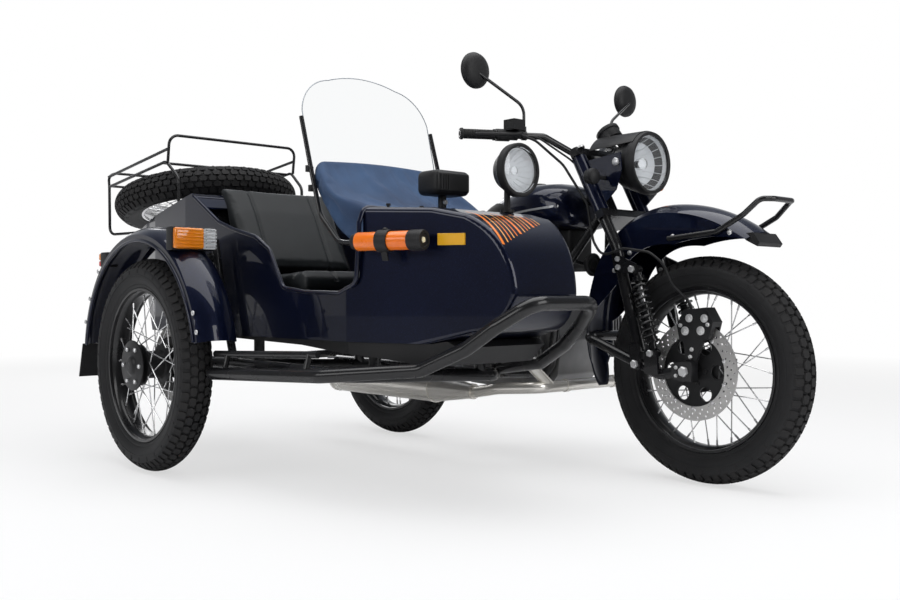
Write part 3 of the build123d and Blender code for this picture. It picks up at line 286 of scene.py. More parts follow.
# Rows of blocks: middle across the tread, half width, shift round it and how far the ends are pointed
ROWS = (
    (0.0, 0.0096, 0.0, 0.13),
    (0.0212, 0.0092, 0.5, 0.13),
    (-0.0212, 0.0092, 0.5, 0.13),
    (0.0415, 0.0088, 0.0, 0.05),
    (-0.0415, 0.0088, 0.0, 0.05),
)
blocks = ([], [])
for pitch in range(PITCHES):
    step = math.tau / PITCHES
    at = pitch * step
    for middle, half, shift, point in ROWS:
        start, end = at + (shift + 0.17) * step, at + (shift + 0.83) * step
        left, right, tip = middle - half, middle + half, point * step
        corners = [
            (left, start), (middle, start - tip), (right, start), (right, end), (middle, end + tip), (left, end)
        ]
        lug = tread_block(corners, GROOVE)
        base = len(blocks[0])
        blocks[0].extend(lug[0])
        blocks[1].extend(tuple(base + i for i in face) for face in lug[1])
    for side in (-1, 1):
        if pitch % 2 == 0:
            rib = [(0.0517, 0.2950), (0.0517, 0.3070)]
            pair = []
            for y, r in rib:
                for a in (at + 0.1 * step, at + 0.34 * step):
                    pair += [Vector((r * math.cos(a), side * y, r * math.sin(a)))]
                    pair += [Vector((r * math.cos(a), side * (y + 0.0018), r * math.sin(a)))]
            base = len(blocks[0])
            blocks[0].extend(pair)
            for face in ((1, 3, 7, 5), (0, 1, 5, 4), (2, 3, 7, 6), (0, 1, 3, 2), (4, 5, 7, 6)):
                blocks[1].append(tuple(base + i for i in face))

lean = math.radians(10.6)
LIE_FLAT = Matrix.Rotation(-lean, 4, "Y") @ Matrix.Rotation(math.radians(90), 4, "X")
WHEEL_PLACES = {
    "front": (Matrix.Translation(spot(1500, 0, AXLE_HEIGHT)), "front_wheel_set"),
    "rear": (Matrix.Translation(spot(0, 0, AXLE_HEIGHT)), "rear_wheel_set"),
    "sidecar": (Matrix.Translation(spot(SIDE_WHEEL_X, -1152, AXLE_HEIGHT)), "sidecar_wheel_set"),
    "spare": (Matrix.Translation(spot(-300, -700, 930)) @ LIE_FLAT, "trunk_cover"),
}
for name, (place, body) in WHEEL_PLACES.items():
    assemble(
        f"{name}_tyre_tread",
        body,
        [(placed(turned(carcass, 128), place), rubber_wall), (placed(blocks, place), rubber_tread)],
        stands_for=[f"{name}_tyre"],
    )

# Wheels: black alloy rims laced with bright steel spokes to black hubs, and drilled steel discs.
# The spokes cross from the hub flanges to nipples in the rim; the spare has a bright rim and no disc.
SPOKES = 36
rim_black = finish(
    "rim_black", (0.008, 0.008, 0.009), (0.014, 0.014, 0.015), (0.22, 0.36), grain=0.1, scale=600, coat=0.3,
    shine=0.3,
)
spoke_steel = finish(
    "spoke_steel", (0.66, 0.66, 0.67), (0.78, 0.78, 0.78), (0.16, 0.28), metal=0.72, grain=0.05, scale=300
)
disc_steel = finish(
    "disc_steel", (0.50, 0.49, 0.48), (0.62, 0.61, 0.60), (0.24, 0.36), metal=0.78, grain=0.12, scale=900
)
hub_black = finish(
    "hub_black", (0.010, 0.010, 0.011), (0.018, 0.018, 0.019), (0.34, 0.5), grain=0.3, scale=500, shine=0.3
)


def skin_faces(rings, around):
    """The faces between rings of points that follow one another."""
    faces = []
    for low in range(0, (rings - 1) * around, around):
        for k in range(around):
            n = (k + 1) % around
            faces.append((low + k, low + n, low + around + n, low + around + k))
    return faces


def round_bar(points, radius, sides=10, bend=0.0):
    """A bar of round section along straight runs, with its corners bent to a radius."""
    points = [Vector(p) for p in points]
    route = [points[0]]
    for before, corner, after in zip(points, points[1:], points[2:]):
        into, outof = (corner - before).normalized(), (after - corner).normalized()
        angle = into.angle(outof, 0.0)
        if angle < 0.02 or not bend:
            route.append(corner)
            continue
        cut = min(bend * math.tan(angle / 2), 0.48 * (corner - before).length, 0.48 * (after - corner).length)
        start, end = corner - into * cut, corner + outof * cut
        steps = max(2, int(angle / 0.16))
        for i in range(steps + 1):
            t = i / steps
            route.append(start.lerp(corner, t).lerp(corner.lerp(end, t), t))
    route.append(points[-1])
    ways = []
    for i in range(len(route)):
        ways.append((route[min(i + 1, len(route) - 1)] - route[max(i - 1, 0)]).normalized())
    side = ways[0].orthogonal().normalized()
    verts = []
    for place, way in zip(route, ways):
        side = (side - way * side.dot(way)).normalized()
        other = way.cross(side)
        for k in range(sides):
            a = math.tau * k / sides
            verts.append(place + (side * math.cos(a) + other * math.sin(a)) * radius)
    faces = skin_faces(len(route), sides)
    faces.append(tuple(range(sides))[::-1])
    faces.append(tuple((len(route) - 1) * sides + k for k in range(sides)))
    return verts, faces


def gathered(*shapes):
    """Several shapes as one."""
    points, faces = [], []
    for verts, polys in shapes:
        base = len(points)
        points += list(verts)
        faces += [tuple(base + i for i in poly) for poly in polys]
    return points, faces


def pierced_plate(outer, holes, thick, steps=64):
    """A flat plate in the XZ plane with round holes: outer radius, then (x, z, radius) of each hole."""
    line = bpy.data.curves.new("plate", "CURVE")
    line.dimensions = "2D"
    line.fill_mode = "BOTH"
    line.extrude = thick / 2
    for x, z, r in [(0, 0, outer), *holes]:
        count = steps if r > 0.02 else 10
        ring = line.splines.new("POLY")
        ring.points.add(count - 1)
        for i, point in enumerate(ring.points):
            a = math.tau * i / count
            point.co = (x + r * math.cos(a), z + r * math.sin(a), 0, 1)
        ring.use_cyclic_u = True
    holder = bpy.data.objects.new("plate", line)
    mesh = bpy.data.meshes.new_from_object(holder)
    upright = Matrix.Rotation(math.radians(90), 4, "X")
    shape = [upright @ v.co for v in mesh.vertices], [tuple(p.vertices) for p in mesh.polygons]
    bpy.data.objects.remove(holder)
    bpy.data.meshes.remove(mesh)
    return shape


def bolt_head(place, way, radius, height, sides=6):
    """A bolt head that stands on a place and points a way."""
    way = Vector(way).normalized()
    place = Vector(place)
    side = way.orthogonal().normalized()
    other = way.cross(side)
    points = []
    for up, grow in ((0, 1.0), (height * 0.75, 1.0), (height, 0.8)):
        for k in range(sides):
            a = math.tau * k / sides
            points.append(place + way * up + (side * math.cos(a) + other * math.sin(a)) * radius * grow)
    return points, [tuple(2 * sides + k for k in range(sides)), *skin_faces(3, sides)]


def bolt_ring(count, shift, ring, y, side, radius, height, sides=6):
    """A ring of bolts round a hub, on the face at y, pointing out to one side."""
    bolts = []
    for k in range(count):
        a = math.tau * (k + shift) / count
        bolts.append(bolt_head((ring * math.cos(a), y, ring * math.sin(a)), (0, side, 0), radius, height, sides))
    return bolts


rim_outline = [
    (-0.036, 0.2477), (-0.0385, 0.2470), (-0.0385, 0.2390), (-0.034, 0.2372), (-0.029, 0.2385), (-0.023, 0.2310),
    (-0.012, 0.2275), (0.012, 0.2275), (0.023, 0.2310), (0.029, 0.2385), (0.034, 0.2372), (0.0385, 0.2390),
    (0.0385, 0.2470), (0.036, 0.2477), (0.026, 0.2440), (0.0, 0.2400), (-0.026, 0.2440),
]
hub_outline = [
    (-0.062, 0.0101), (-0.062, 0.034), (-0.060, 0.038), (-0.046, 0.042), (-0.0425, 0.064), (-0.041, 0.066),
    (-0.035, 0.066), (-0.0335, 0.064), (-0.031, 0.048), (-0.026, 0.044), (0.026, 0.044), (0.031, 0.048),
    (0.0335, 0.064), (0.035, 0.066), (0.041, 0.066), (0.0425, 0.064), (0.046, 0.042), (0.060, 0.038),
    (0.062, 0.034), (0.062, 0.0101),
]
laces = []
nipples = []
HOOK, SEAT = 0.060, 0.2285
for index in range(SPOKES):
    side = 1 if index % 2 else -1
    cross = 1 if index % 4 < 2 else -1
    at_rim = index * math.tau / SPOKES
    at_hub = at_rim + cross * math.radians(62)
    flange = 0.0395 if cross > 0 else 0.0365
    start = Vector((HOOK * math.cos(at_hub), side * flange, HOOK * math.sin(at_hub)))
    end = Vector((SEAT * math.cos(at_rim), side * 0.008, SEAT * math.sin(at_rim)))
    laces.append(round_bar([start, end], 0.0019, 6))
    nipples.append(round_bar([end, end.lerp(start, 0.085)], 0.0032, 6))
    nipples.append(bolt_head(start, (0, side, 0), 0.0042, 0.003, 8))

HUB_FACE, DISC_THICK, CARRIER_THICK = 0.062, 0.0046, 0.0068
# Discs and hub plates by wheel: disc radius, side of the hub it is on, hub cap on the outer side
FITTED = {
    "front": (0.148, -1, False), "rear": (0.128, 1, False), "sidecar": (0.123, 1, True), "spare": (0, 1, False)
}
for name, (place, body) in WHEEL_PLACES.items():
    radius, side, capped = FITTED[name]
    rim_finish = rim_black if name != "spare" else spoke_steel
    shapes = [
        (turned(rim_outline, 96), rim_finish),
        (turned(hub_outline, 48), hub_black),
        (gathered(*laces), spoke_steel),
        (gathered(*nipples), spoke_steel),
    ]
    if radius:
        face = side * HUB_FACE
        holes = [(0, 0, radius - 0.042)]
        for row, lift in enumerate((0.0095, 0.0205, 0.0315)):
            for k in range(30):
                a = math.tau * (k + row * 0.36) / 30
                r = radius - lift
                holes.append((r * math.cos(a), r * math.sin(a), 0.0036))
        disc_at = Matrix.Translation((0, face + side * 0.0095, 0))
        shapes.append((placed(pierced_plate(radius, holes, DISC_THICK, 96), disc_at), disc_steel))
        windows = [(0, 0, 0.028)]
        for k in range(6):
            a = math.tau * k / 6
            r = radius - 0.070
            windows.append((r * math.cos(a), r * math.sin(a), 0.021 * radius / 0.148))
        carrier_at = Matrix.Translation((0, face + side * 0.0035, 0))
        shapes.append((placed(pierced_plate(radius - 0.034, windows, CARRIER_THICK, 72), carrier_at), hub_black))
        rivets = bolt_ring(10, 0.5, radius - 0.038, face + side * 0.0118, side, 0.0062, 0.0024, 10)
        shapes += [(rivet, spoke_steel) for rivet in rivets]
        shapes += [(bolt, hub_black) for bolt in bolt_ring(5, 0, 0.040, face + side * 0.007, side, 0.0065, 0.005)]
    if capped:
        plate = [
            (-0.062, 0.0101), (-0.062, 0.080), (-0.0655, 0.080),
            (-0.0670, 0.077), (-0.0670, 0.036), (-0.0690, 0.030),
            (-0.0735, 0.0270), (-0.0757, 0.022), (-0.0757, 0.0101),
        ]
        shapes.append((turned(plate, 56), hub_black))
        shapes += [(bolt, spoke_steel) for bolt in bolt_ring(6, 0, 0.058, -0.0670, -1, 0.0078, 0.006)]
    assemble(
        f"{name}_laced_wheel",
        body,
        [(placed(shape, place), kind) for shape, kind in shapes],
        stands_for=[f"{name}_wheel"],
    )

# Front fork: black tube legs with painted sleeves, a leading link round the back of the tyre.
# The yokes clamp both legs; small bolts hold the link, the shock eyes and the axle.
tube_black = finish(
    "frame_black", (0.007, 0.007, 0.008), (0.012, 0.012, 0.013), (0.20, 0.34), grain=0.12, scale=350, coat=0.35,
    shine=0.3,
)
plastic_black = finish(
    "moulded_black", (0.010, 0.010, 0.011), (0.016, 0.016, 0.017), (0.42, 0.58), grain=0.45, scale=650, shine=0.3
)
bolt_zinc = finish(
    "bolt_zinc", (0.62, 0.62, 0.63), (0.74, 0.74, 0.74), (0.25, 0.4), metal=0.65, grain=0.1, scale=500
)


def navy_paint():
    """Deep blue body paint: dark base with fine metal flakes under a clear coat."""
    made = finish(
        "navy_paint", (0.0018, 0.0032, 0.0135), (0.0030, 0.0054, 0.0220), (0.30, 0.38), metal=0.5, coat=0.7,
        blotch=3.0, shine=0.15,
    )
    tree = made.node_tree
    skin = tree.nodes["Principled BSDF"]
    skin.inputs["Coat Roughness"].default_value = 0.025
    tint = skin.inputs["Base Color"].links[0].from_socket
    where = shader_node(tree, "TexCoord", {}).outputs["Object"]
    flake = shader_node(tree, "TexVoronoi", {"Vector": where, "Scale": 1500}).outputs["Color"]
    spark = two_shades(tree, flake, (0.80, (0, 0, 0)), (1.0, (0.020, 0.034, 0.10)))
    both = tree.nodes.new("ShaderNodeMix")
    both.data_type = "RGBA"
    both.blend_type = "ADD"
    both.inputs["Factor"].default_value = 1.0
    tree.links.new(tint, both.inputs["A"])
    tree.links.new(spark, both.inputs["B"])
    tree.links.new(both.outputs["Result"], skin.inputs["Base Color"])
    return made


def dress(node, kind, bevel=0.0, segments=2):
    """Gives a drawn piece its finish and, where it is sharp, a small rounded edge."""
    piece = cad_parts[node]
    piece.data.materials.clear()
    piece.data.materials.append(kind)
    if bevel:
        join = piece.modifiers.new("join", "WELD")
        join.merge_threshold = 0.00002
        edge = piece.modifiers.new("edge", "BEVEL")
        edge.width = bevel
        edge.segments = segments
        edge.limit_method = "ANGLE"
        edge.angle_limit = math.radians(42)
        edge.harden_normals = True
    return piece


navy = navy_paint()
dress("fork", tube_black)
dress("front_link", tube_black)
dress("fork_covers", navy)
# Bolts on each side of the fork: place along, out and up, radius, height, sides
LINK_BOLTS = (
    (1328, 130, 357, 0.013, 0.010, 6), (1316, 130, 648, 0.011, 0.009, 6), (1384, 128, 392, 0.011, 0.009, 6),
    (1500, 122, AXLE_HEIGHT, 0.016, 0.010, 6), (1474, 122, 354, 0.006, 0.006, 6), (1474, 122, 330, 0.006, 0.006, 6),
    (1262, 130, 680, 0.009, 0.007, 6), (1264, 130, 654, 0.009, 0.007, 6), (1236, 106, 987, 0.0125, 0.007, 12),
)
STEERING_WAY = (-0.469, 0, 0.883)
link_bolts = []
for side in (-1, 1):
    for x, y, z, radius, height, sides in LINK_BOLTS:
        link_bolts.append(bolt_head(spot(x, side * y, z), (0, side, 0), radius, height, sides))
    link_bolts.append(bolt_head(spot(1090.3, side * 106, 1043), STEERING_WAY, 0.015, 0.008, 12))
assemble("link_bolts", "steering", [(gathered(*link_bolts), bolt_zinc)])

# Shock absorbers: bright rods in black bodies inside coil springs wound of round black wire.
# Two stand at the front link, two at the rear arm and one at the sidecar wheel.
spring_black = finish(
    "spring_black", (0.010, 0.010, 0.011), (0.016, 0.016, 0.016), (0.2, 0.32), coat=0.4, shine=0.3
)


def shock_unit(low, high, y, spring, wire, turns, body):
    """Eyes, body, collars and a coil spring between two eyes (x, z) in one upright plane."""
    start, end = spot(low[0], y, low[1]), spot(high[0], y, high[1])
    run = end - start
    way, long = run.normalized(), run.length
    across = Vector((0, 1, 0))
    other = way.cross(across)
    at = lambda d: start + way * d
    solids = []
    for eye in (start, end):
        solids.append(round_bar([eye - across * 0.0155, eye + across * 0.0155], 0.0125, 20))
    solids.append(round_bar([at(0.012), at(0.048)], 0.012, 16))
    solids.append(round_bar([at(0.030), at(long * 0.56)], body, 24))
    solids.append(round_bar([at(long - 0.05), at(long - 0.012)], 0.012, 16))
    cup = spring + wire * 0.6
    collars = [(0.034, cup, 0.006), (0.041, spring * 0.86, 0.008)]
    collars += [(long - 0.040, cup, 0.006), (long - 0.033, spring * 0.8, 0.010)]
    for d, r, thick in collars:
        solids.append(round_bar([at(d), at(d + thick)], r, 28))
    rod = round_bar([at(long * 0.5), at(long - 0.03)], body * 0.5, 16)
    coil = []
    first, last = 0.040, long - 0.042
    steps = turns * 22
    for i in range(steps + 1):
        t = i / steps
        a = math.tau * turns * t
        lift = first + wire + (last - first - 2 * wire) * t
        coil.append(at(lift) + (across * math.cos(a) + other * math.sin(a)) * spring)
    return gathered(*solids), rod, round_bar(coil, wire, 8)


SPRING_WIRE, SPRING_TURNS, SHOCK_BODY = 0.0044, 9, 0.0165
FRONT_EYES, REAR_EYES, SIDE_EYES = ((1384, 392), (1316, 648)), ((46, 368), (-14, 716)), ((236, 384), (320, 688))
# Each group: name, body, drawn node, and the units as their eyes, place across and spring radius
SHOCKS = (
    ("front_spring_units", "steering", "front_shocks", ((FRONT_EYES, -106, 0.0225), (FRONT_EYES, 106, 0.0225))),
    (
        "chassis_spring_units",
        "chassis",
        "chassis_shocks",
        ((REAR_EYES, -156, 0.0245), (REAR_EYES, 156, 0.0245), (SIDE_EYES, -1040, 0.0220)),
    ),
)
for name, body, node, units in SHOCKS:
    shapes = []
    for (low, high), y, spring in units:
        solids, rod, coil = shock_unit(low, high, y, spring, SPRING_WIRE, SPRING_TURNS, SHOCK_BODY)
        shapes += [(solids, tube_black), (rod, spoke_steel), (coil, spring_black)]
    assemble(name, body, shapes, stands_for=[node])

# Front brake: a black four-piston caliper on a plate at the link's right end, with its hose.
# The two halves are bolted over the disc; the hose runs up to the bar, beside the switch wire.
dress("front_caliper", hub_black)
brake_bits = []
for x, z, r in ((1490, 462, 0.013), (1544, 464, 0.013), (1504, 500, 0.012), (1556, 500, 0.012)):
    brake_bits.append(bolt_head(spot(x, -100, z), (0, -1, 0), r, 0.004, 20))
    brake_bits.append(bolt_head(spot(x, -104, z), (0, -1, 0), r * 0.5, 0.003, 6))
for x, z in ((1509, 386), (1514, 408), (1568, 482), (1474, 478)):
    brake_bits.append(bolt_head(spot(x, -100, z), (0, -1, 0), 0.0065, 0.006))
hose = [
    spot(1500, -78, 520), spot(1490, -86, 552), spot(1452, -116, 600), spot(1432, -128, 662), spot(1384, -134, 698),
    spot(1290, -140, 712), spot(1206, -138, 690), spot(1158, -124, 740),
    spot(1130, -120, 862), spot(1058, -154, 990),
    spot(1000, -222, 1068), spot(958, -270, 1092), spot(930, -284, 1096),
]
wire = [
    spot(936, -262, 1086), spot(990, -206, 1084), spot(1064, -128, 1010), spot(1128, -92, 936), spot(1160, -64, 900)
]
HOSE_RADIUS, WIRE_RADIUS = 0.0042, 0.0032
assemble(
    "caliper_bolts",
    "steering",
    [
        (gathered(*brake_bits), bolt_zinc),
        (round_bar(hose, HOSE_RADIUS, 10, 0.06), plastic_black),
        (round_bar(wire, WIRE_RADIUS, 8, 0.08), plastic_black),
    ],
)

# Front mudguard: deep blue steel over the wheel with a rolled lip, and a black guard loop.
# The loop is one bent bar bolted through the guard's sides; a rubber tip hangs at the front.
dress("front_fender", navy)
dress("fender_loop", tube_black)
guard_bits = []
for side in (-1, 1):
    for x, z in ((1627, 748), (1270, 700), (1210, 646), (1268, 650), (1432, 744)):
        guard_bits.append(bolt_head(spot(x, side * 80, z), (0, side, 0), 0.0075, 0.0045, 16))
tip_side = [(1650, 744), (1690, 746), (1712, 716), (1704, 706), (1668, 724)]
tip_points = [spot(x, y, z) for y in (-62, 62) for x, z in tip_side]
count = len(tip_side)
tip_faces = [tuple(range(count)), tuple(range(2 * count - 1, count - 1, -1))]
tip_faces += [(k, (k + 1) % count, (k + 1) % count + count, k + count) for k in range(count)]
assemble(
    "guard_bolts",
    "steering",
    [(gathered(*guard_bits), bolt_zinc), ((tip_points, tip_faces), plastic_black)],
)

# Headlamp: a black shell and ring, a fluted bright reflector and a clear domed glass.
# It hangs between two painted ears under a black hood that carries the speedometer.
chrome = finish("bulb_shield", (0.72, 0.72, 0.73), (0.82, 0.82, 0.82), (0.05, 0.12), metal=1.0)
reflector = finish(
    "reflector", (0.84, 0.85, 0.86), (0.93, 0.93, 0.94), (0.20, 0.32), metal=0.2, grain=0.3, scale=60, depth=0.001
)


def clear_glass(name, tint, rough, bend=1.46):
    """Clear moulded glass or acrylic with a faint ripple."""
    made = bpy.data.materials.new(name)
    made.use_nodes = True
    tree = made.node_tree
    skin = tree.nodes["Principled BSDF"]
    skin.inputs["Base Color"].default_value = (*tint, 1)
    skin.inputs["Roughness"].default_value = rough
    skin.inputs["Transmission Weight"].default_value = 1.0
    skin.inputs["IOR"].default_value = bend
    where = shader_node(tree, "TexCoord", {}).outputs["Object"]
    ripple = shader_node(tree, "TexNoise", {"Vector": where, "Scale": 14})
    raised(tree, ripple.outputs["Fac"], 0.04, 0.0005)
    return made


lamp_clear = clear_glass("lamp_clear", (0.96, 0.98, 1.0), 0.01)


def ahead(outline, steps, place):
    """Turns an outline of (forward, radius) and sets it facing forward at a place."""
    return placed(turned(outline, steps), Matrix.Translation(place) @ Matrix.Rotation(math.radians(-90), 4, "Z"))


def lamp_insides(radius, deep, rim_at):
    """Reflector bowl, bulb shield and flutes of a round lamp that faces forward from its rim's middle."""
    inside = ((0.0, 1.0), (0.25, 0.93), (0.55, 0.76), (0.8, 0.52), (1.0, 0.2))
    outside = ((0.8, 0.55), (0.5, 0.82))
    bowl = [(-deep * d, radius * r) for d, r in inside]
    bowl += [(-deep - 0.001, 0.0), (-deep - 0.003, 0.0), (-deep - 0.003, radius * 0.22)]
    bowl += [(-deep * d, radius * r) for d, r in outside] + [(0.0, radius + 0.0015)]
    cup = ((0.48, 0.0), (0.47, 0.2), (0.38, 0.19), (0.32, 0.1), (0.31, 0.0))
    shield = [(-deep * d, radius * r) for d, r in cup]
    flutes = []
    for k in range(18):
        a = math.tau * k / 18
        line = []
        for d, r in ((0.1, 0.955), (0.32, 0.87), (0.6, 0.70), (0.8, 0.49)):
            line.append(Vector((-deep * d, radius * r * math.cos(a), radius * r * math.sin(a))))
        flutes.append(round_bar(line, radius * 0.012, 5))
    place = Matrix.Translation(rim_at)
    return [
        (ahead(bowl, 48, rim_at), reflector),
        (ahead(shield, 24, rim_at), chrome),
        (placed(gathered(*flutes), place), reflector),
    ]


dress("headlamp", plastic_black)
lamp_face = spot(1291, 0, 987)
ring = [
    (-0.010, 0.0885), (0.002, 0.0880), (0.0045, 0.0925), (0.0045, 0.0975), (-0.002, 0.1002), (-0.020, 0.1002),
    (-0.026, 0.0985), (-0.026, 0.0965), (-0.010, 0.0965),
]
assemble(
    "headlamp_insides",
    "steering",
    [*lamp_insides(0.0865, 0.056, spot(1279, 0, 987)), (ahead(ring, 72, lamp_face), plastic_black)],
)
dome = [
    (-0.012, 0.0), (-0.012, 0.0855), (0.000, 0.0872), (0.004, 0.070), (0.0066, 0.045), (0.0078, 0.02), (0.008, 0.0),
]
lamp_glass = [(ahead(dome, 64, lamp_face), lamp_clear)]
assemble("headlamp_glass", "steering", lamp_glass, stands_for=["headlamp_lens"])
dress("lamp_hood", plastic_black, 0.0012)

# Front indicators: cups on rubber stalks from the lamp ears, the left with a ribbed amber lens.
# The right one is closed with a black blank, because the sidecar carries the lamp on that side.
amber = finish("amber_lens", (0.85, 0.22, 0.01), (0.95, 0.32, 0.02), (0.08, 0.16), coat=0.6)
amber.node_tree.nodes["Principled BSDF"].inputs["Transmission Weight"].default_value = 0.25
cup = [(-0.022, 0.0), (-0.022, 0.012), (-0.016, 0.022), (0.004, 0.0262), (0.006, 0.0250), (0.006, 0.0)]
ribs = []
for k, r in enumerate((0.0045, 0.0075, 0.0105, 0.0135, 0.0165, 0.0195, 0.0225, 0.0245)):
    ribs.append((0.022 - r * r * 14 - (0 if k % 2 == 0 else 0.0006), r))
lens = [(0.0215, 0.0), *ribs, (0.006, 0.0248), (0.006, 0.0)]
signals = []
for side, front in ((-1, plastic_black), (1, amber)):
    at = spot(1190, side * 168.3, 940)
    signals += [(ahead(cup, 36, at), plastic_black), (ahead(lens, 36, at), front)]
    stalk = [spot(1190, side * 106.4, 940), spot(1190, side * 146, 940)]
    signals.append((round_bar(stalk, 0.007, 16), plastic_black))
assemble("front_indicators", "steering", signals, stands_for=["front_signals"])

# Handlebar: a black bent tube with ribbed rubber grips, levers and switch blocks.
# Clamps hold the bar on the top yoke; the grips are pushed on over its ends.
grip_rubber = finish(
    "grip_rubber", (0.014, 0.014, 0.014), (0.022, 0.022, 0.022), (0.6, 0.8), grain=0.4, scale=800, shine=0.3
)
dress("handlebar", tube_black)
dress("bar_controls", plastic_black, 0.0012)
bar_bend, bar_end = spot(978, 160, 1090), spot(850, 420, 1088)
BAR_MIDDLE = 0.394


def on_side(side, place):
    """A place given for the left end of the bar, on either side."""
    return Vector((place.x, BAR_MIDDLE + side * (place.y - BAR_MIDDLE), place.z))


grip_outline = [(0.0, 0.0115), (0.0, 0.0175), (0.004, 0.0190), (0.008, 0.0190), (0.010, 0.0160)]
for k in range(16):
    foot = 0.013 + k * 0.0060
    grip_outline += [(foot, 0.0148), (foot + 0.001, 0.0160), (foot + 0.0040, 0.0160), (foot + 0.005, 0.0148)]
grip_outline += [(0.112, 0.0160), (0.112, 0.0185), (0.117, 0.0185), (0.118, 0.0115)]
grips = []
for side in (-1, 1):
    out_way = (on_side(side, bar_end) - on_side(side, bar_bend)).normalized()
    tip_at = on_side(side, bar_end) - out_way * 0.002
    spin = (-out_way).to_track_quat("Y", "Z").to_matrix().to_4x4()
    grips.append(placed(turned(grip_outline, 28), Matrix.Translation(tip_at) @ spin))
assemble("ribbed_grips", "steering", [(gathered(*grips), grip_rubber)], stands_for=["grips"])

# Mirrors: two round black shells on bent rods, each with a bright glass facing the rider.
# The rods screw into clamps on the bar; a ball behind the shell sets the angle.
mirror_glass = finish("mirror_glass", (0.80, 0.82, 0.84), (0.86, 0.87, 0.88), (0.01, 0.03), metal=1.0)
shell = [
    (-0.008, 0.0), (-0.008, 0.054), (-0.0078, 0.0565), (-0.005, 0.0580), (0.002, 0.0580), (0.010, 0.0535),
    (0.017, 0.043), (0.0205, 0.028), (0.0218, 0.012), (0.022, 0.0),
]
glass = [(-0.0083, 0.0), (-0.0083, 0.0535), (-0.0079, 0.0535), (-0.0079, 0.0)]
perch_at = bar_end - (bar_end - bar_bend).normalized() * 0.220
mirror_shapes = []
for side in (-1, 1):
    perch = on_side(side, perch_at)
    above = lambda lift: perch + Vector((0, 0, lift))
    head = spot(886, side * 384, 1290)
    out_way = (on_side(side, bar_end) - on_side(side, bar_bend)).normalized()
    stem = [above(0.012), above(0.096), head + Vector((0.018, 0, -0.012))]
    mirror_shapes += [
        (round_bar([perch - out_way * 0.008, perch + out_way * 0.008], 0.0148, 24), plastic_black),
        (round_bar([above(0.010), above(0.030)], 0.0085, 6), tube_black),
        (round_bar(stem, 0.0052, 14, 0.05), tube_black),
        (ahead(shell, 48, head), plastic_black),
        (ahead(glass, 48, head), mirror_glass),
    ]
assemble("round_mirrors", "steering", mirror_shapes, stands_for=["mirrors"])

# Motorcycle frame and engine: a black tube cradle round a cast boxer twin with finned barrels.
# The cases are bead-blasted alloy; ribbed rocker covers close the heads, held by two bolts each.
cast_alloy = finish(
    "cast_alloy", (0.20, 0.20, 0.205), (0.30, 0.30, 0.30), (0.42, 0.58), metal=0.85, grain=0.5, scale=420,
    depth=0.0004,
)
cover_alloy = finish(
    "cover_alloy", (0.42, 0.42, 0.42), (0.55, 0.55, 0.55), (0.25, 0.38), metal=0.95, grain=0.15, scale=300
)
dress("bike_frame", tube_black)
dress("engine_block", cast_alloy, 0.004, 3)
dress("cylinder_right", cast_alloy)
dress("cylinder_left", cast_alloy)
engine_bits = []
for side in (-1, 1):
    for rib in range(5):
        z = 384 + rib * 18
        line = [spot(824, side * 395.2, z), spot(936, side * 395.2, z)]
        engine_bits.append((round_bar(line, 0.0035, 8), cover_alloy))
    for x in (838, 922):
        engine_bits.append((bolt_head(spot(x, side * 394, 420), (0, side, 0), 0.009, 0.008), bolt_zinc))
    for x, z in ((520, 400), (560, 300), (640, 290), (760, 286), (930, 290), (960, 380), (940, 500), (820, 560)):
        engine_bits.append((bolt_head(spot(x, side * 98, z), (0, side, 0), 0.007, 0.006), bolt_zinc))
    lid = [(0.0, 0.0), (0.0, 0.072), (0.006, 0.070), (0.009, 0.058), (0.009, 0.0)]
    spin = Matrix.Identity(4) if side > 0 else Matrix.Rotation(math.pi, 4, "X")
    engine_bits.append((placed(turned(lid, 40), Matrix.Translation(spot(640, side * 98, 400)) @ spin), cover_alloy))
assemble("engine_covers", "chassis", engine_bits)

# Horn and coil box: a black disc horn on a strap at the down tubes, a moulded box below the tank.
# The horn's diaphragm has pressed rings; the box hangs from the tank's tunnel.
def soft_block(low, high, radius):
    """A block between two corners in millimetres with its edges rounded."""
    shape = bmesh.new()
    bmesh.ops.create_cube(shape, size=1)
    a, b = spot(*low), spot(*high)
    for v in shape.verts:
        v.co = Vector(((a[i] + b[i]) / 2 + v.co[i] * (b[i] - a[i]) for i in range(3)))
    bmesh.ops.bevel(shape, geom=shape.edges[:], offset=radius / 1000, segments=4, profile=0.5, affect="EDGES")
    shape.verts.index_update()
    made = [v.co.copy() for v in shape.verts], [tuple(v.index for v in f.verts) for f in shape.faces]
    shape.free()
    return made


horn = [
    (0.0, 0.0), (0.0, 0.012), (0.002, 0.014), (0.002, 0.020), (0.000, 0.022), (0.000, 0.030), (0.003, 0.034),
    (0.000, 0.038), (-0.008, 0.038), (-0.012, 0.030), (-0.024, 0.026), (-0.030, 0.018), (-0.030, 0.0),
]
strap = [spot(1064, -40, 668), spot(1052, -62, 674), spot(1041, -96, 684)]
front_bits = [
    (ahead(horn, 44, spot(1092, -40, 668)), plastic_black),
    (round_bar(strap, 0.006, 10), tube_black),
    (soft_block((918, -58, 648), (1006, 58, 794), 14), plastic_black),
    (soft_block((940, -64, 690), (990, 64, 704), 4), plastic_black),
    (soft_block((940, -64, 726), (990, 64, 740), 4), plastic_black),
]
assemble("horn_and_coil", "chassis", front_bits)

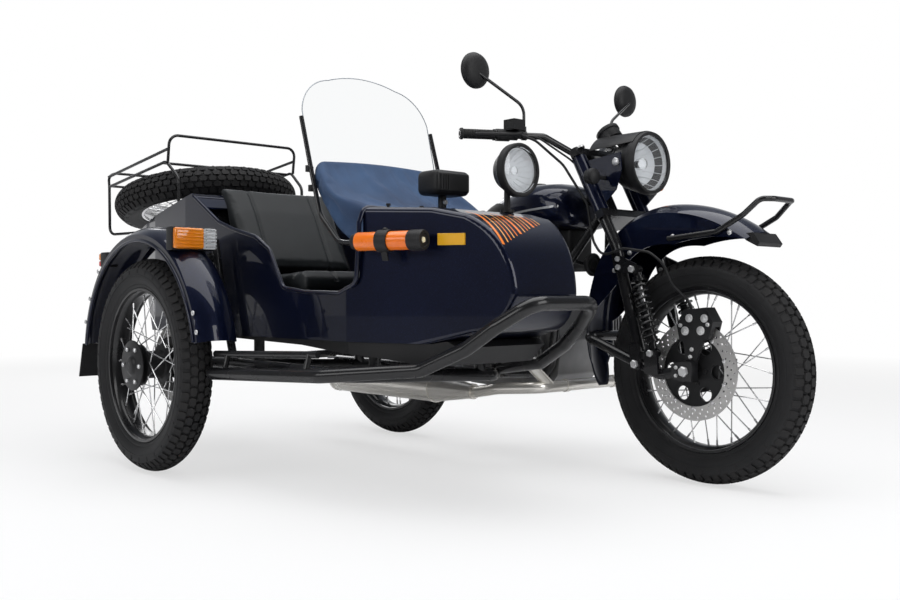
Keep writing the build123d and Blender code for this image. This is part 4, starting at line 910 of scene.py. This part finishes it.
# Carburettors: one alloy body behind each cylinder head, with a bowl below and a black slide cap.
# Clips hold the rubber hoses that lead from them to the air box over the gearbox.
carburettors = []
for side in (-1, 1):
    low, high = sorted((side * 308, side * 352))
    throat = [spot(814, side * 330, 452), spot(744, side * 330, 456)]
    hose = [
        spot(748, side * 330, 456), spot(690, side * 316, 480), spot(652, side * 180, 560),
        spot(636, side * 79, 590),
    ]
    carburettors += [
        (round_bar(throat, 0.0235, 28), cover_alloy),
        (round_bar([spot(814, side * 330, 452), spot(806, side * 330, 452)], 0.032, 6), cover_alloy),
        (soft_block((758, low, 392), (802, high, 440), 8), cover_alloy),
        (round_bar([spot(780, side * 330, 466), spot(780, side * 330, 516)], 0.0205, 24), plastic_black),
        (round_bar([spot(780, side * 330, 484), spot(780, side * 330, 492)], 0.0225, 24), plastic_black),
        (round_bar(hose, 0.0255, 24, 0.09), plastic_black),
        (round_bar([spot(740, side * 329, 457), spot(732, side * 327, 460)], 0.0272, 24), bolt_zinc),
    ]
assemble("carburettors", "chassis", carburettors)

# Exhaust: stainless headers, a crossover under the engine and one long silencer on the right.
# The pipes are bent tube with welded collars; heat has browned the headers a little.
steel_pipe = finish(
    "exhaust_steel", (0.74, 0.71, 0.65), (0.86, 0.84, 0.79), (0.20, 0.32), metal=0.72, grain=0.12, scale=220,
    blotch=5.0,
)
dress("exhaust", steel_pipe)
clamps = []
for x, r in ((604, 0.0515), (36, 0.0515), (792, 0.0262)):
    clamps.append(round_bar([spot(x - 7, -306, 246), spot(x + 7, -306, 246)], r, 36))
for y in (-120, 120):
    clamps.append(round_bar([spot(1040, y - 9, 272), spot(1040, y + 9, 272)], 0.0215, 28))
clamps.append(round_bar([spot(18.5, -306, 246), spot(24, -306, 246)], 0.030, 32))
assemble("pipe_clamps", "chassis", [(gathered(*clamps), steel_pipe)])

# Fuel tank: deep blue, with a pale pinstripe along each side and a black screw cap.
# The halves are pressed and welded; rubber knee pads are glued on behind.
# Stations along the tank: place, half width, bottom, top
TANK = (
    (566, 40, 808, 838), (572, 58, 796, 856), (590, 76, 784, 874), (640, 92, 773, 897), (720, 115, 776, 928),
    (800, 132, 780, 942), (880, 147, 784, 950), (950, 143, 787, 946), (1000, 132, 789, 926), (1026, 112, 791, 884),
    (1038, 92, 797, 856), (1042, 66, 808, 842),
)
AROUND = 40
BELLY, CROWN_CURVE = 0.52, 0.72
tank_points = []
for x, half, low, high in TANK:
    mid, tall = (low + high) / 2, (high - low) / 2
    for k in range(AROUND):
        a = math.tau * k / AROUND
        c, n = math.cos(a), math.sin(a)
        power = BELLY if n < 0 else CROWN_CURVE
        y = half * math.copysign(abs(c) ** power, c)
        tank_points.append(spot(x, y, mid + tall * math.copysign(abs(n) ** power, n)))
tank_faces = skin_faces(len(TANK), AROUND)
tank_faces.append(tuple(range(AROUND)))
tank_faces.append(tuple((len(TANK) - 1) * AROUND + k for k in range(AROUND)))
stripe_silver = finish("stripe_silver", (0.42, 0.43, 0.45), (0.50, 0.51, 0.52), (0.3, 0.42), metal=0.6)


def tank_side(x, z, off):
    """Half width of the tank at a place and height, in millimetres, so far off its skin."""
    for (x0, w0, l0, h0), (x1, w1, l1, h1) in zip(TANK, TANK[1:]):
        if x0 <= x <= x1:
            t = (x - x0) / (x1 - x0)
            half, low, high = w0 + (w1 - w0) * t, l0 + (l1 - l0) * t, h0 + (h1 - h0) * t
            lift = (z - (low + high) / 2) / ((high - low) / 2)
            power = BELLY if lift < 0 else CROWN_CURVE
            n = min(1, abs(lift)) ** (1 / power)
            return half * math.sqrt(max(0, 1 - n * n)) ** power + off
    return 0


tank_shapes = [((tank_points, tank_faces), navy)]
for side in (-1, 1):
    line = []
    for k in range(25):
        x = 610 + 400 * k / 24
        z = 838 + 24 * (k / 24) ** 1.3
        line.append([spot(x, side * tank_side(x, z + up, 0.7), z + up) for up in (-3.5, 3.5)])
    strip = [p for pair in line for p in pair], [(2 * k, 2 * k + 1, 2 * k + 3, 2 * k + 2) for k in range(24)]
    tank_shapes.append((strip, stripe_silver))
    pad = []
    for k in range(13):
        x = 606 + 150 * k / 12
        reach = 26 * math.sin(math.pi * (0.08 + 0.84 * k / 12)) ** 0.5
        for u in range(7):
            z = 868 + reach * (u / 3 - 1)
            dome = 0
            if 0 < u < 6 and 0 < k < 12:
                dome = 4.5 * math.sin(math.pi * k / 12) ** 0.4 * math.sin(math.pi * u / 6) ** 0.4
            pad.append(spot(x, side * tank_side(x, z, 0.3 + dome), z))
    patch = pad, [(7 * k + u, 7 * k + u + 1, 7 * k + u + 8, 7 * k + u + 7) for k in range(12) for u in range(6)]
    tank_shapes.append((patch, grip_rubber))
cap = [
    (-0.010, 0.0), (-0.010, 0.040), (0.004, 0.040), (0.006, 0.037), (0.008, 0.034), (0.016, 0.033), (0.018, 0.030),
    (0.018, 0.0),
]
upright = Matrix.Rotation(math.radians(90), 4, "X")
tank_shapes.append((placed(turned(cap, 40), Matrix.Translation(spot(800, 0, 941)) @ upright), plastic_black))
assemble("tank_shell", "chassis", tank_shapes, stands_for=["fuel_tank"], smooth=50)

# Rider's bench: black grained vinyl over foam, stepped for a second rider.
# The cover is sewn across in three places, and its filling swells it a little.
vinyl = finish(
    "seat_vinyl", (0.012, 0.014, 0.0155), (0.019, 0.0215, 0.0235), (0.42, 0.56), grain=0.5, scale=520, depth=0.0004,
    shine=0.3,
)
VOXEL, SWELL_MOST = 0.006, 0.007
SEAM_WIDE, SEAM_DEEP = 0.0055, 0.0065


def stuffed(name, outline, low, high, body, node, seams):
    """A sewn cushion: its outline from the side in millimetres, widened, rounded and swollen."""
    middle = [sum(p[i] for p in outline) / len(outline) for i in (0, 1)]
    shrunk = [(x + (middle[0] - x) * 0.012, z + (middle[1] - z) * 0.03) for x, z in outline]
    count = len(shrunk)
    points = [tuple(spot(x, low, z)) for x, z in shrunk] + [tuple(spot(x, high, z)) for x, z in shrunk]
    faces = [tuple(range(count)), tuple(range(2 * count - 1, count - 1, -1))]
    faces += [(i, i + count, (i + 1) % count + count, (i + 1) % count) for i in range(count)]
    mesh = bpy.data.meshes.new(name)
    mesh.from_pydata(points, [], faces)
    piece = bpy.data.objects.new(name, mesh)
    scene.collection.objects.link(piece)
    grid = piece.modifiers.new("grid", "REMESH")
    grid.mode = "VOXEL"
    grid.voxel_size = VOXEL
    ease = piece.modifiers.new("ease", "SMOOTH")
    ease.factor = 0.5
    ease.iterations = 10
    settle(piece)
    rest = corner_points(piece)
    swell = piece.modifiers.new("swell", "CLOTH")
    swell.settings.use_pressure = True
    swell.settings.uniform_pressure_force = 4
    swell.settings.effector_weights.gravity = 0
    for step in range(1, 19):
        scene.frame_set(step)
    held = piece.evaluated_get(bpy.context.evaluated_depsgraph_get())
    swollen = corner_points(held)
    piece.modifiers.clear()
    scene.frame_set(1)
    push = swollen - rest
    far = np.linalg.norm(push, axis=1, keepdims=True)
    push *= np.minimum(1, SWELL_MOST / np.maximum(far, 1e-9))
    rest = rest + push
    set_corners(piece, rest)
    even = piece.modifiers.new("even", "SMOOTH")
    even.factor = 0.5
    even.iterations = 6
    finer = piece.modifiers.new("finer", "SUBSURF")
    finer.levels = finer.render_levels = 1
    settle(piece)
    spots = corner_points(piece)
    normals = np.array([v.normal for v in piece.data.vertices])
    for kind, place, reach in seams:
        axis = {"x": 0, "y": 1}[kind]
        gap = spots[:, axis] - spot(place, place, place)[axis]
        facing = (normals @ np.array(reach)) > 0.2
        press = np.exp(-((gap / SEAM_WIDE) ** 2)) * SEAM_DEEP * facing
        spots = spots - normals * press[:, None]
    set_corners(piece, spots)
    piece.data.shade_smooth()
    piece.data.materials.clear()
    piece.data.materials.append(vinyl)
    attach(piece, body)
    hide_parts(node)


def corner_points(piece):
    """All the corner places of a piece's mesh."""
    flat = np.zeros(len(piece.data.vertices) * 3)
    piece.data.vertices.foreach_get("co", flat)
    return flat.reshape(-1, 3)


def set_corners(piece, places):
    """Moves a piece's corners to new places."""
    piece.data.vertices.foreach_set("co", np.asarray(places, dtype=np.float32).ravel())
    piece.data.update()


def settle(piece):
    """Keeps what the piece's modifiers make as its own mesh."""
    shaped = bpy.data.meshes.new_from_object(piece.evaluated_get(bpy.context.evaluated_depsgraph_get()))
    piece.modifiers.clear()
    piece.data = shaped


bench = [
    (52, 735), (330, 718), (556, 738), (564, 780), (430, 776), (300, 786), (240, 808), (60, 822), (38, 802),
    (38, 740),
]
stuffed(
    "bench_cushion", bench, -124, 124, "chassis", "rider_seat",
    [("x", 236, (0, 0, 1)), ("x", 150, (0, 0, 1)), ("x", 400, (0, 0, 1))],
)

# Rear end: blue mudguard, black swinging arm with the final drive, pegs and pedals.
# The sidecar wheel is driven by a cross shaft from the final drive.
dress("rear_fender", navy)
dress("rear_arm", tube_black)
dress("foot_controls", tube_black)
dress("side_shaft", tube_black)

# Sidecar chassis: black welded tube with struts to the motorcycle and its own swinging arm.
# The nose hoop and the step are bolted to the front and right tubes.
for node in ("sidecar_frame", "side_struts", "sidecar_arm", "nose_bumper"):
    dress(node, tube_black)

# Sidecar body: deep blue pressed steel with a rolled rim round the cockpit, bare inside.
# A black stone guard closes it below; the seat frame stands inside on its floor.
dress("sidecar_tub", navy)
dress("stone_guard", plastic_black, 0.004, 3)
dress("seat_frame", tube_black)
BODY_MIDDLE, BODY_HALF, RIM_ROLL = -700, 275, 0.0065
# The rim's line on the right dips from the seat's shoulder to the sill and rises to the cowl
SILL = [
    (380, 779), (520, 748), (600, 706), (676, 590), (790, 577), (960, 573), (1040, 600), (1053, 740), (1053, 768)
]
SHOULDER_LINE = [(122, 900), (290, 806)]
right, left = BODY_MIDDLE - BODY_HALF, BODY_MIDDLE + BODY_HALF
right_line = [spot(x, right + 3, z) for x, z in [*SHOULDER_LINE, *SILL]]
left_line = [spot(x, left - 3, z) for x, z in [*SHOULDER_LINE, (420, 768), (1053, 768)]]
hoop = [
    spot(1053, right + 3, 760), spot(1053, right + 19, 806), spot(1053, left - 19, 806), spot(1053, left - 3, 768)
]
back_edge = [spot(122, right + 4, 898), spot(122, left - 4, 898)]
rolled = []
for line, bend in ((right_line, 0.034), (left_line, 0.08), (hoop, 0.03), (back_edge, 0)):
    rolled.append(round_bar(line, RIM_ROLL, 14, bend))
assemble("rolled_rim", "chassis", [(gathered(*rolled), navy)])

# Nose stripes: a plain set of orange and apricot pinstripes over the nose, cut from thin film.
# They start at staggered places on the cowl and end in a slant on the nose's front.
stripe_orange = finish("stripe_orange", (0.80, 0.17, 0.006), (0.88, 0.22, 0.010), (0.25, 0.38), coat=0.5)
stripe_apricot = finish("stripe_apricot", (0.85, 0.36, 0.08), (0.90, 0.42, 0.11), (0.25, 0.38), coat=0.5)
NOSE_ARC = (1263.57, 568.79, 225.44)
# Offset across the nose, width, first and last angle round it, finish
STRIPES = (
    (-118, 9, 78, 34, stripe_orange), (-98, 4, 70, 36, stripe_apricot), (-82, 4, 62, 38, stripe_orange),
    (-66, 4, 76, 40, stripe_apricot), (-50, 4, 66, 42, stripe_orange), (-30, 9, 78, 44, stripe_orange),
    (-10, 4, 72, 46, stripe_apricot), (6, 4, 64, 48, stripe_orange), (22, 4, 74, 50, stripe_apricot),
    (42, 9, 78, 52, stripe_orange), (62, 4, 72, 54, stripe_orange), (78, 4, 66, 56, stripe_apricot),
)
films = []
for across, wide, first, last, kind in STRIPES:
    cx, cz, radius = NOSE_ARC
    line = []
    for k in range(15):
        a = math.radians(first + (last - first) * k / 14)
        x, z = cx + (radius + 0.7) * math.cos(a), cz + (radius + 0.7) * math.sin(a)
        if x < 1350:
            z = 777 + (1350 - x) * 20 / 94 + 0.7
        line += [spot(x, BODY_MIDDLE + across - wide / 2, z), spot(x, BODY_MIDDLE + across + wide / 2, z)]
    films.append(((line, [(2 * k, 2 * k + 1, 2 * k + 3, 2 * k + 2) for k in range(14)]), kind))
assemble("nose_stripes", "chassis", films)

# Passenger seat: a black vinyl cushion with a rolled front edge and a tall sewn backrest.
# Both are foam under grained vinyl with vertical seams, on the seat frame.
cushion = [(356, 596), (376, 563), (700, 563), (722, 586), (716, 626), (690, 638), (420, 620)]
stuffed(
    "seat_cushion", cushion, -919, -481, "chassis", "passenger_cushion",
    [("y", -800, (0, 0, 1)), ("y", -600, (0, 0, 1)), ("x", 640, (0, 0, 1))],
)
backrest = [(285, 648), (208, 866), (168, 924), (180, 937), (212, 927), (262, 850), (366, 654), (340, 638)]
stuffed(
    "seat_back", backrest, -911, -489, "chassis", "passenger_backrest",
    [("y", -820, (1, 0, 0.4)), ("y", -580, (1, 0, 0.4))],
)

# Windscreen: a clear flat acrylic pane between two black posts that reach down inside the body.
# Small clamps hold the pane; its edge is polished.
screen_clear = clear_glass("screen_clear", (0.944, 0.953, 0.957), 0.0, 1.03)
dress("windscreen", screen_clear)
dress("screen_posts", tube_black)
pane_edge = finish("pane_edge", (0.30, 0.33, 0.37), (0.40, 0.43, 0.47), (0.15, 0.25))


PANE_FOOT_X, PANE_FOOT_Z, PANE_LEAN, PANE_RISE = 781, 932, 0.2419, 0.9703


def on_pane(across, up):
    """A place in the middle of the pane's thickness."""
    return spot(PANE_FOOT_X - PANE_LEAN * up - 1.94, BODY_MIDDLE + across, PANE_FOOT_Z + PANE_RISE * up - 0.48)


def arc_through(start, middle, end, steps):
    """Places along the round arc through three flat points."""
    (ax, ay), (bx, by), (cx, cy) = start, middle, end
    d = 2 * (ax * (by - cy) + bx * (cy - ay) + cx * (ay - by))
    a2, b2, c2 = ax * ax + ay * ay, bx * bx + by * by, cx * cx + cy * cy
    ux = (a2 * (by - cy) + b2 * (cy - ay) + c2 * (ay - by)) / d
    uy = (a2 * (cx - bx) + b2 * (ax - cx) + c2 * (bx - ax)) / d
    first, last = math.atan2(ay - uy, ax - ux), math.atan2(cy - uy, cx - ux)
    r = math.hypot(ax - ux, ay - uy)
    turns = [first + (last - first) * k / steps for k in range(steps + 1)]
    return [(ux + r * math.cos(a), uy + r * math.sin(a)) for a in turns]


SHOULDER = arc_through((242.7, 190), (206.7, 262), (130.7, 300), 12)
CREST = arc_through((130.7, 300), (0, 322), (-130.7, 300), 20)
around = [(242.7, 30), *SHOULDER, *CREST[1:], *[(-u, v) for u, v in reversed(SHOULDER[:-1])], (-242.7, 30)]
assemble("pane_edge_strip", "chassis", [(round_bar([on_pane(u, v) for u, v in around], 0.0016, 8), pane_edge)])
holders = []
for side in (-1, 1):
    for along in (5, -55):
        x, z = PANE_FOOT_X - along * PANE_LEAN, PANE_FOOT_Z + along * PANE_RISE
        y = BODY_MIDDLE + side * 250
        holders.append(round_bar([spot(x, y, z - 9), spot(x, y, z + 9)], 0.0105, 16))
        holders.append(bolt_head(spot(x + 8, y, z), (1, 0, 0.25), 0.0075, 0.008, 12))
for y in (-880, -760, -640, -520):
    holders.append(round_bar([spot(1064, y, 804), spot(1064, y, 818)], 0.004, 12))
    holders.append(round_bar([spot(1064, y, 814), spot(1064, y, 820)], 0.0065, 12))
assemble("screen_clamps", "chassis", [(gathered(*holders), plastic_black)])

# Apron: blue woven cloth from the windscreen down to the cowl, with sides that hang to the rim.
# It is one sheet, held at the screen, at the rim and on pegs along the cowl, and it sags between.
cloth_blue = bpy.data.materials.new("apron_cloth")
cloth_blue.use_nodes = True
tree = cloth_blue.node_tree
skin = tree.nodes["Principled BSDF"]
skin.inputs["Roughness"].default_value = 0.82
skin.inputs["Sheen Weight"].default_value = 0.06
skin.inputs["Sheen Roughness"].default_value = 0.5
where = shader_node(tree, "TexCoord", {}).outputs["Object"]
weave = []
for axis in ("X", "Y"):
    threads = shader_node(tree, "TexWave", {"Vector": where, "Scale": 210, "Distortion": 1.2, "Detail": 2})
    threads.bands_direction = axis
    weave.append(threads.outputs["Fac"])
crossing = shader_node(tree, "Math", {0: weave[0], 1: weave[1]})
crossing.operation = "MULTIPLY"
raised(tree, crossing.outputs[0], 0.5, 0.0004)
fading = shader_node(tree, "TexNoise", {"Vector": where, "Scale": 7, "Detail": 5}).outputs["Fac"]
faded_blue = two_shades(tree, fading, (0.3, (0.018, 0.042, 0.102)), (0.75, (0.034, 0.084, 0.184)))
tree.links.new(faded_blue, skin.inputs["Base Color"])
ACROSS, ALONG = 60, 34
# Half width of the cloth's flat top, radius of its folded edges, bulge of the top, in millimetres
HALF, CORNER, BULGE = 236, 34, 9
QUARTER = math.pi / 2
sheet_points, sheet_faces = [], []
for j in range(ALONG + 1):
    v = j / ALONG
    top_x, top_z = 790 + (1050 - 790) * v, 962 + (805 - 962) * v + 14 * math.sin(math.pi * v) - 3
    drop = 40 + 92 * math.sin(math.pi * min(1, v * 0.92)) ** 0.8
    for i in range(ACROSS + 1):
        s = (i / ACROSS * 2 - 1) * (HALF + drop)
        far = abs(s)
        if far < HALF - CORNER:
            y, z = far, top_z + BULGE * math.cos(far / HALF * QUARTER)
        elif far < HALF + CORNER * 0.57:
            a = min(1, (far - (HALF - CORNER)) / (CORNER * 1.571)) * QUARTER
            y = HALF - CORNER + CORNER * math.sin(a)
            z = top_z - CORNER * (1 - math.cos(a)) + BULGE * math.cos(min(1, far / HALF) * QUARTER)
        else:
            y, z = HALF, top_z - CORNER - (far - HALF - CORNER * 0.57)
        ripple = (4.6 * math.sin(0.021 * s + 6.5 * v) + 2.2 * math.sin(0.046 * s - 8 * v)) * math.sin(math.pi * v)
        sheet_points.append(tuple(spot(top_x, BODY_MIDDLE + math.copysign(y, s), z + ripple)))
for j in range(ALONG):
    for i in range(ACROSS):
        a = j * (ACROSS + 1) + i
        sheet_faces.append((a, a + 1, a + ACROSS + 2, a + ACROSS + 1))
hung = bpy.data.objects.new("apron_draft", bpy.data.meshes.new("apron_draft"))
hung.data.from_pydata(sheet_points, [], sheet_faces)
scene.collection.objects.link(hung)
row = ACROSS + 1
snaps = hung.vertex_groups.new(name="snaps")
held_edge = [j * row + i for j in range(ALONG + 1) for i in range(row) if j in (0, ALONG) or i in (0, ACROSS)]
snaps.add(held_edge, 1.0, "REPLACE")
drape = hung.modifiers.new("drape", "CLOTH")
drape.settings.vertex_group_mass = "snaps"
drape.settings.mass = 0.15
drape.settings.tension_stiffness = 12
drape.settings.compression_stiffness = 12
drape.settings.bending_stiffness = 0.4
drape.settings.shrink_min = -0.03
drape.settings.effector_weights.gravity = 0.3
for step in range(1, 31):
    scene.frame_set(step)
sheet_points = [tuple(p) for p in corner_points(hung.evaluated_get(bpy.context.evaluated_depsgraph_get()))]
scene.frame_set(1)
bpy.data.objects.remove(hung)
apron = assemble(
    "apron_sheet", "chassis", [((sheet_points, sheet_faces), cloth_blue)], stands_for=["apron"],
    smooth=180,
)
hang = apron.modifiers.new("cloth", "SOLIDIFY")
hang.thickness = 0.0016

# Sidecar mudguard: deep blue steel arch with a rolled edge, a rubber flap and lamp boxes.
# The front lamp has an amber and a clear half; the rear lamps are red, one with amber over it.
dress("sidecar_fender", navy)
dress("mud_flap", plastic_black)
GUARD_FACE, LIP_RADIUS, LIP_BOLT_RADIUS = -1205, 399, 424


def on_guard(angle, radius):
    """A place on the mudguard's outer face, by its angle from the top."""
    a = math.radians(angle)
    return spot(SIDE_WHEEL_X + radius * math.sin(a), GUARD_FACE, AXLE_HEIGHT + radius * math.cos(a))


lip = [on_guard(-82.5 + 160 * k / 48, LIP_RADIUS) for k in range(49)]
lip_bolts = []
for angle in (74, 66, -44, -60, -72):
    lip_bolts.append(bolt_head(on_guard(angle, LIP_BOLT_RADIUS), (0, -1, 0), 0.0075, 0.004, 12))
assemble("guard_lip", "chassis", [(round_bar(lip, 0.006, 12), navy), (gathered(*lip_bolts), bolt_zinc)])
red_lens = finish("red_lens", (0.45, 0.008, 0.006), (0.60, 0.015, 0.010), (0.08, 0.16), coat=0.6)
lamps = [
    (soft_block((395, -1210, 704), (434, -1062, 776), 5), plastic_black),
    (soft_block((430, -1206, 708), (452, -1110, 772), 7), amber),
    (soft_block((430, -1109.5, 708), (452, -1066, 772), 7), lamp_clear),
    (soft_block((431, -1107, 711), (437, -1068, 769), 1), reflector),
    (soft_block((-178, -1176, 664), (-120, -1136, 716), 5), plastic_black),
    (soft_block((-200, -1173, 688), (-176, -1139, 713), 6), amber),
    (soft_block((-200, -1173, 667), (-176, -1139, 687.5), 6), red_lens),
    (soft_block((-382, -52, 560), (-300, 52, 640), 9), plastic_black),
    (soft_block((-404, -47, 565), (-380, 47, 635), 9), red_lens),
]
LENS_RIB = 0.0022
for k in range(6):
    z, tail_z = 714 + k * 10.4, 572 + k * 11
    lamps.append((round_bar([spot(451.2, -1202, z), spot(451.2, -1114, z)], LENS_RIB, 6), amber))
    lamps.append((round_bar([spot(451.2, -1105, z), spot(451.2, -1070, z)], LENS_RIB, 6), lamp_clear))
    lamps.append((round_bar([spot(-403.2, -42, tail_z), spot(-403.2, 42, tail_z)], LENS_RIB, 6), red_lens))
assemble("guard_lamps", "chassis", lamps, stands_for=["marker_lamps"])

# Cowl lamps: a black round spot lamp with a bright bowl, and a work lamp under a blank cover.
# Both stand on short posts bolted to the cowl; a knob behind the spot lamp turns it.
dress("spot_lamp", plastic_black)
spot_face = spot(1300, -600, 914)
spot_ring = [
    (-0.012, 0.0640), (-0.001, 0.0640), (0.0015, 0.0670), (0.0015, 0.0720), (-0.001, 0.0746), (-0.014, 0.0746),
    (-0.014, 0.0741), (-0.003, 0.0736),
]
assemble(
    "spot_lamp_insides",
    "chassis",
    [*lamp_insides(0.058, 0.034, spot(1285, -600, 914)), (ahead(spot_ring, 56, spot_face), plastic_black)],
)
spot_dome = [(-0.010, 0.0), (-0.010, 0.0615), (-0.001, 0.0632), (0.0022, 0.048), (0.0038, 0.028), (0.0048, 0.0)]
spot_glass = [(ahead(spot_dome, 48, spot_face), lamp_clear)]
assemble("spot_lamp_glass", "chassis", spot_glass, stands_for=["spot_glass"])
work_shapes = [
    (soft_block((1044, -765, 850), (1136, -635, 920), 17), plastic_black),
    (soft_block((1120, -758, 856), (1140, -642, 914), 9), hub_black),
    (round_bar([spot(1084, -700, 805.8), spot(1084, -700, 852)], 0.012, 20), plastic_black),
    (round_bar([spot(1084, -700, 805.8), spot(1084, -700, 813.6)], 0.026, 32), plastic_black),
    (bolt_head(spot(1096, -700, 832), (1, 0, 0), 0.008, 0.006), bolt_zinc),
]
for k in range(4):
    y = -752 + k * 9
    work_shapes.append((round_bar([spot(1141, y, 864), spot(1141, y, 906)], LENS_RIB, 6), hub_black))
assemble("work_lamp_case", "chassis", work_shapes, stands_for=["work_lamp"])

# Hand torch: orange plastic barrel with a black cap and head, held in a black sprung clamp.
# The clamp's foot is bolted to the right panel; an amber reflector is stuck on ahead of it.
orange_shell = finish(
    "torch_orange", (0.86, 0.165, 0.005), (0.93, 0.21, 0.008), (0.22, 0.34), grain=0.1, scale=500, coat=0.3
)
warm_lens = finish("torch_lens", (0.92, 0.80, 0.50), (0.96, 0.88, 0.62), (0.06, 0.12), coat=0.8)
reflex_amber = finish(
    "reflex_amber", (0.72, 0.36, 0.006), (0.80, 0.42, 0.010), (0.12, 0.25), grain=0.6, scale=900, depth=0.0006,
    coat=0.6,
)
PANEL_SLOPE = 157 / 491


def beside(x, gap, z):
    """A place so far off the tapered right panel."""
    return spot(x, -975 + PANEL_SLOPE * (x - 1000) - gap, z)


torch_way = (beside(1278, 44, 710) - beside(1062, 44, 710)).normalized()
torch_at = Matrix.Translation(beside(1062, 44, 710)) @ torch_way.to_track_quat("Y", "Z").to_matrix().to_4x4()
TORCH = (
    ([(0.0, 0.0), (0.0, 0.017), (0.003, 0.0205), (0.012, 0.0232), (0.019, 0.0232), (0.019, 0.0)], plastic_black),
    (
        [(0.018, 0.0), (0.018, 0.0240), (0.020, 0.0250), (0.180, 0.0250), (0.184, 0.0240), (0.184, 0.0)],
        orange_shell,
    ),
    (
        [(0.086, 0.0245), (0.086, 0.0290), (0.089, 0.0298), (0.119, 0.0298), (0.122, 0.0290), (0.122, 0.0245)],
        plastic_black,
    ),
    (
        [
            (0.183, 0.0), (0.183, 0.0258), (0.188, 0.0268), (0.222, 0.0268), (0.2262, 0.0255), (0.2262, 0.0185),
            (0.2225, 0.0172), (0.2225, 0.0),
        ],
        plastic_black,
    ),
    ([(0.2215, 0.0), (0.2215, 0.0085), (0.2242, 0.0070), (0.2252, 0.0)], warm_lens),
)
torch_shapes = [(placed(turned(outline, 40), torch_at), kind) for outline, kind in TORCH]
for k in range(5):
    grip = 0.190 + k * 0.0066
    ring = [(grip, 0.0262), (grip + 0.0012, 0.0270), (grip + 0.0030, 0.0270), (grip + 0.0042, 0.0262)]
    torch_shapes.append((placed(turned(ring, 40), torch_at), plastic_black))
out_of = Vector((PANEL_SLOPE, -1, 0)).normalized()
clamp_mid = beside(1161, 44, 710)
torch_shapes.append((round_bar([clamp_mid - out_of * 0.0415, clamp_mid], 0.012, 18), plastic_black))
over, under = clamp_mid + Vector((0, 0, 0.026)), clamp_mid - Vector((0, 0, 0.026))
torch_shapes.append((round_bar([over, over + Vector((0, 0, 0.004)) - out_of * 0.004], 0.0085, 8), plastic_black))
tail = [under + torch_way * 0.008 + out_of * 0.006, under - torch_way * 0.010 + out_of * 0.006]
drop = Vector((0, 0, -0.026)) + torch_way * 0.006
strap = [*tail, tail[1] + drop, tail[0] + drop]
strap += [p - out_of * 0.004 for p in strap]
BOX_FACES = [(0, 1, 2, 3), (7, 6, 5, 4), (0, 4, 5, 1), (1, 5, 6, 2), (2, 6, 7, 3), (3, 7, 4, 0)]
torch_shapes.append(((strap, BOX_FACES), plastic_black))
assemble("hand_torch", "chassis", torch_shapes, stands_for=["torch"])
plate = [beside(x, gap, z) for gap in (0.3, 4.3) for x, z in ((1280, 697), (1357, 696), (1357, 726), (1280, 728))]
assemble("side_reflector", "chassis", [((plate, BOX_FACES), reflex_amber)], bevel=0.001)

# Trunk lid, spare carrier and rack: a blue lid hinged at its front edge, under a rack of thin rod.
# The spare wheel is screwed to a spindle on the lid and rises with it.
dress("trunk_lid", navy, 0.003, 3)
dress("luggage_rack", tube_black)
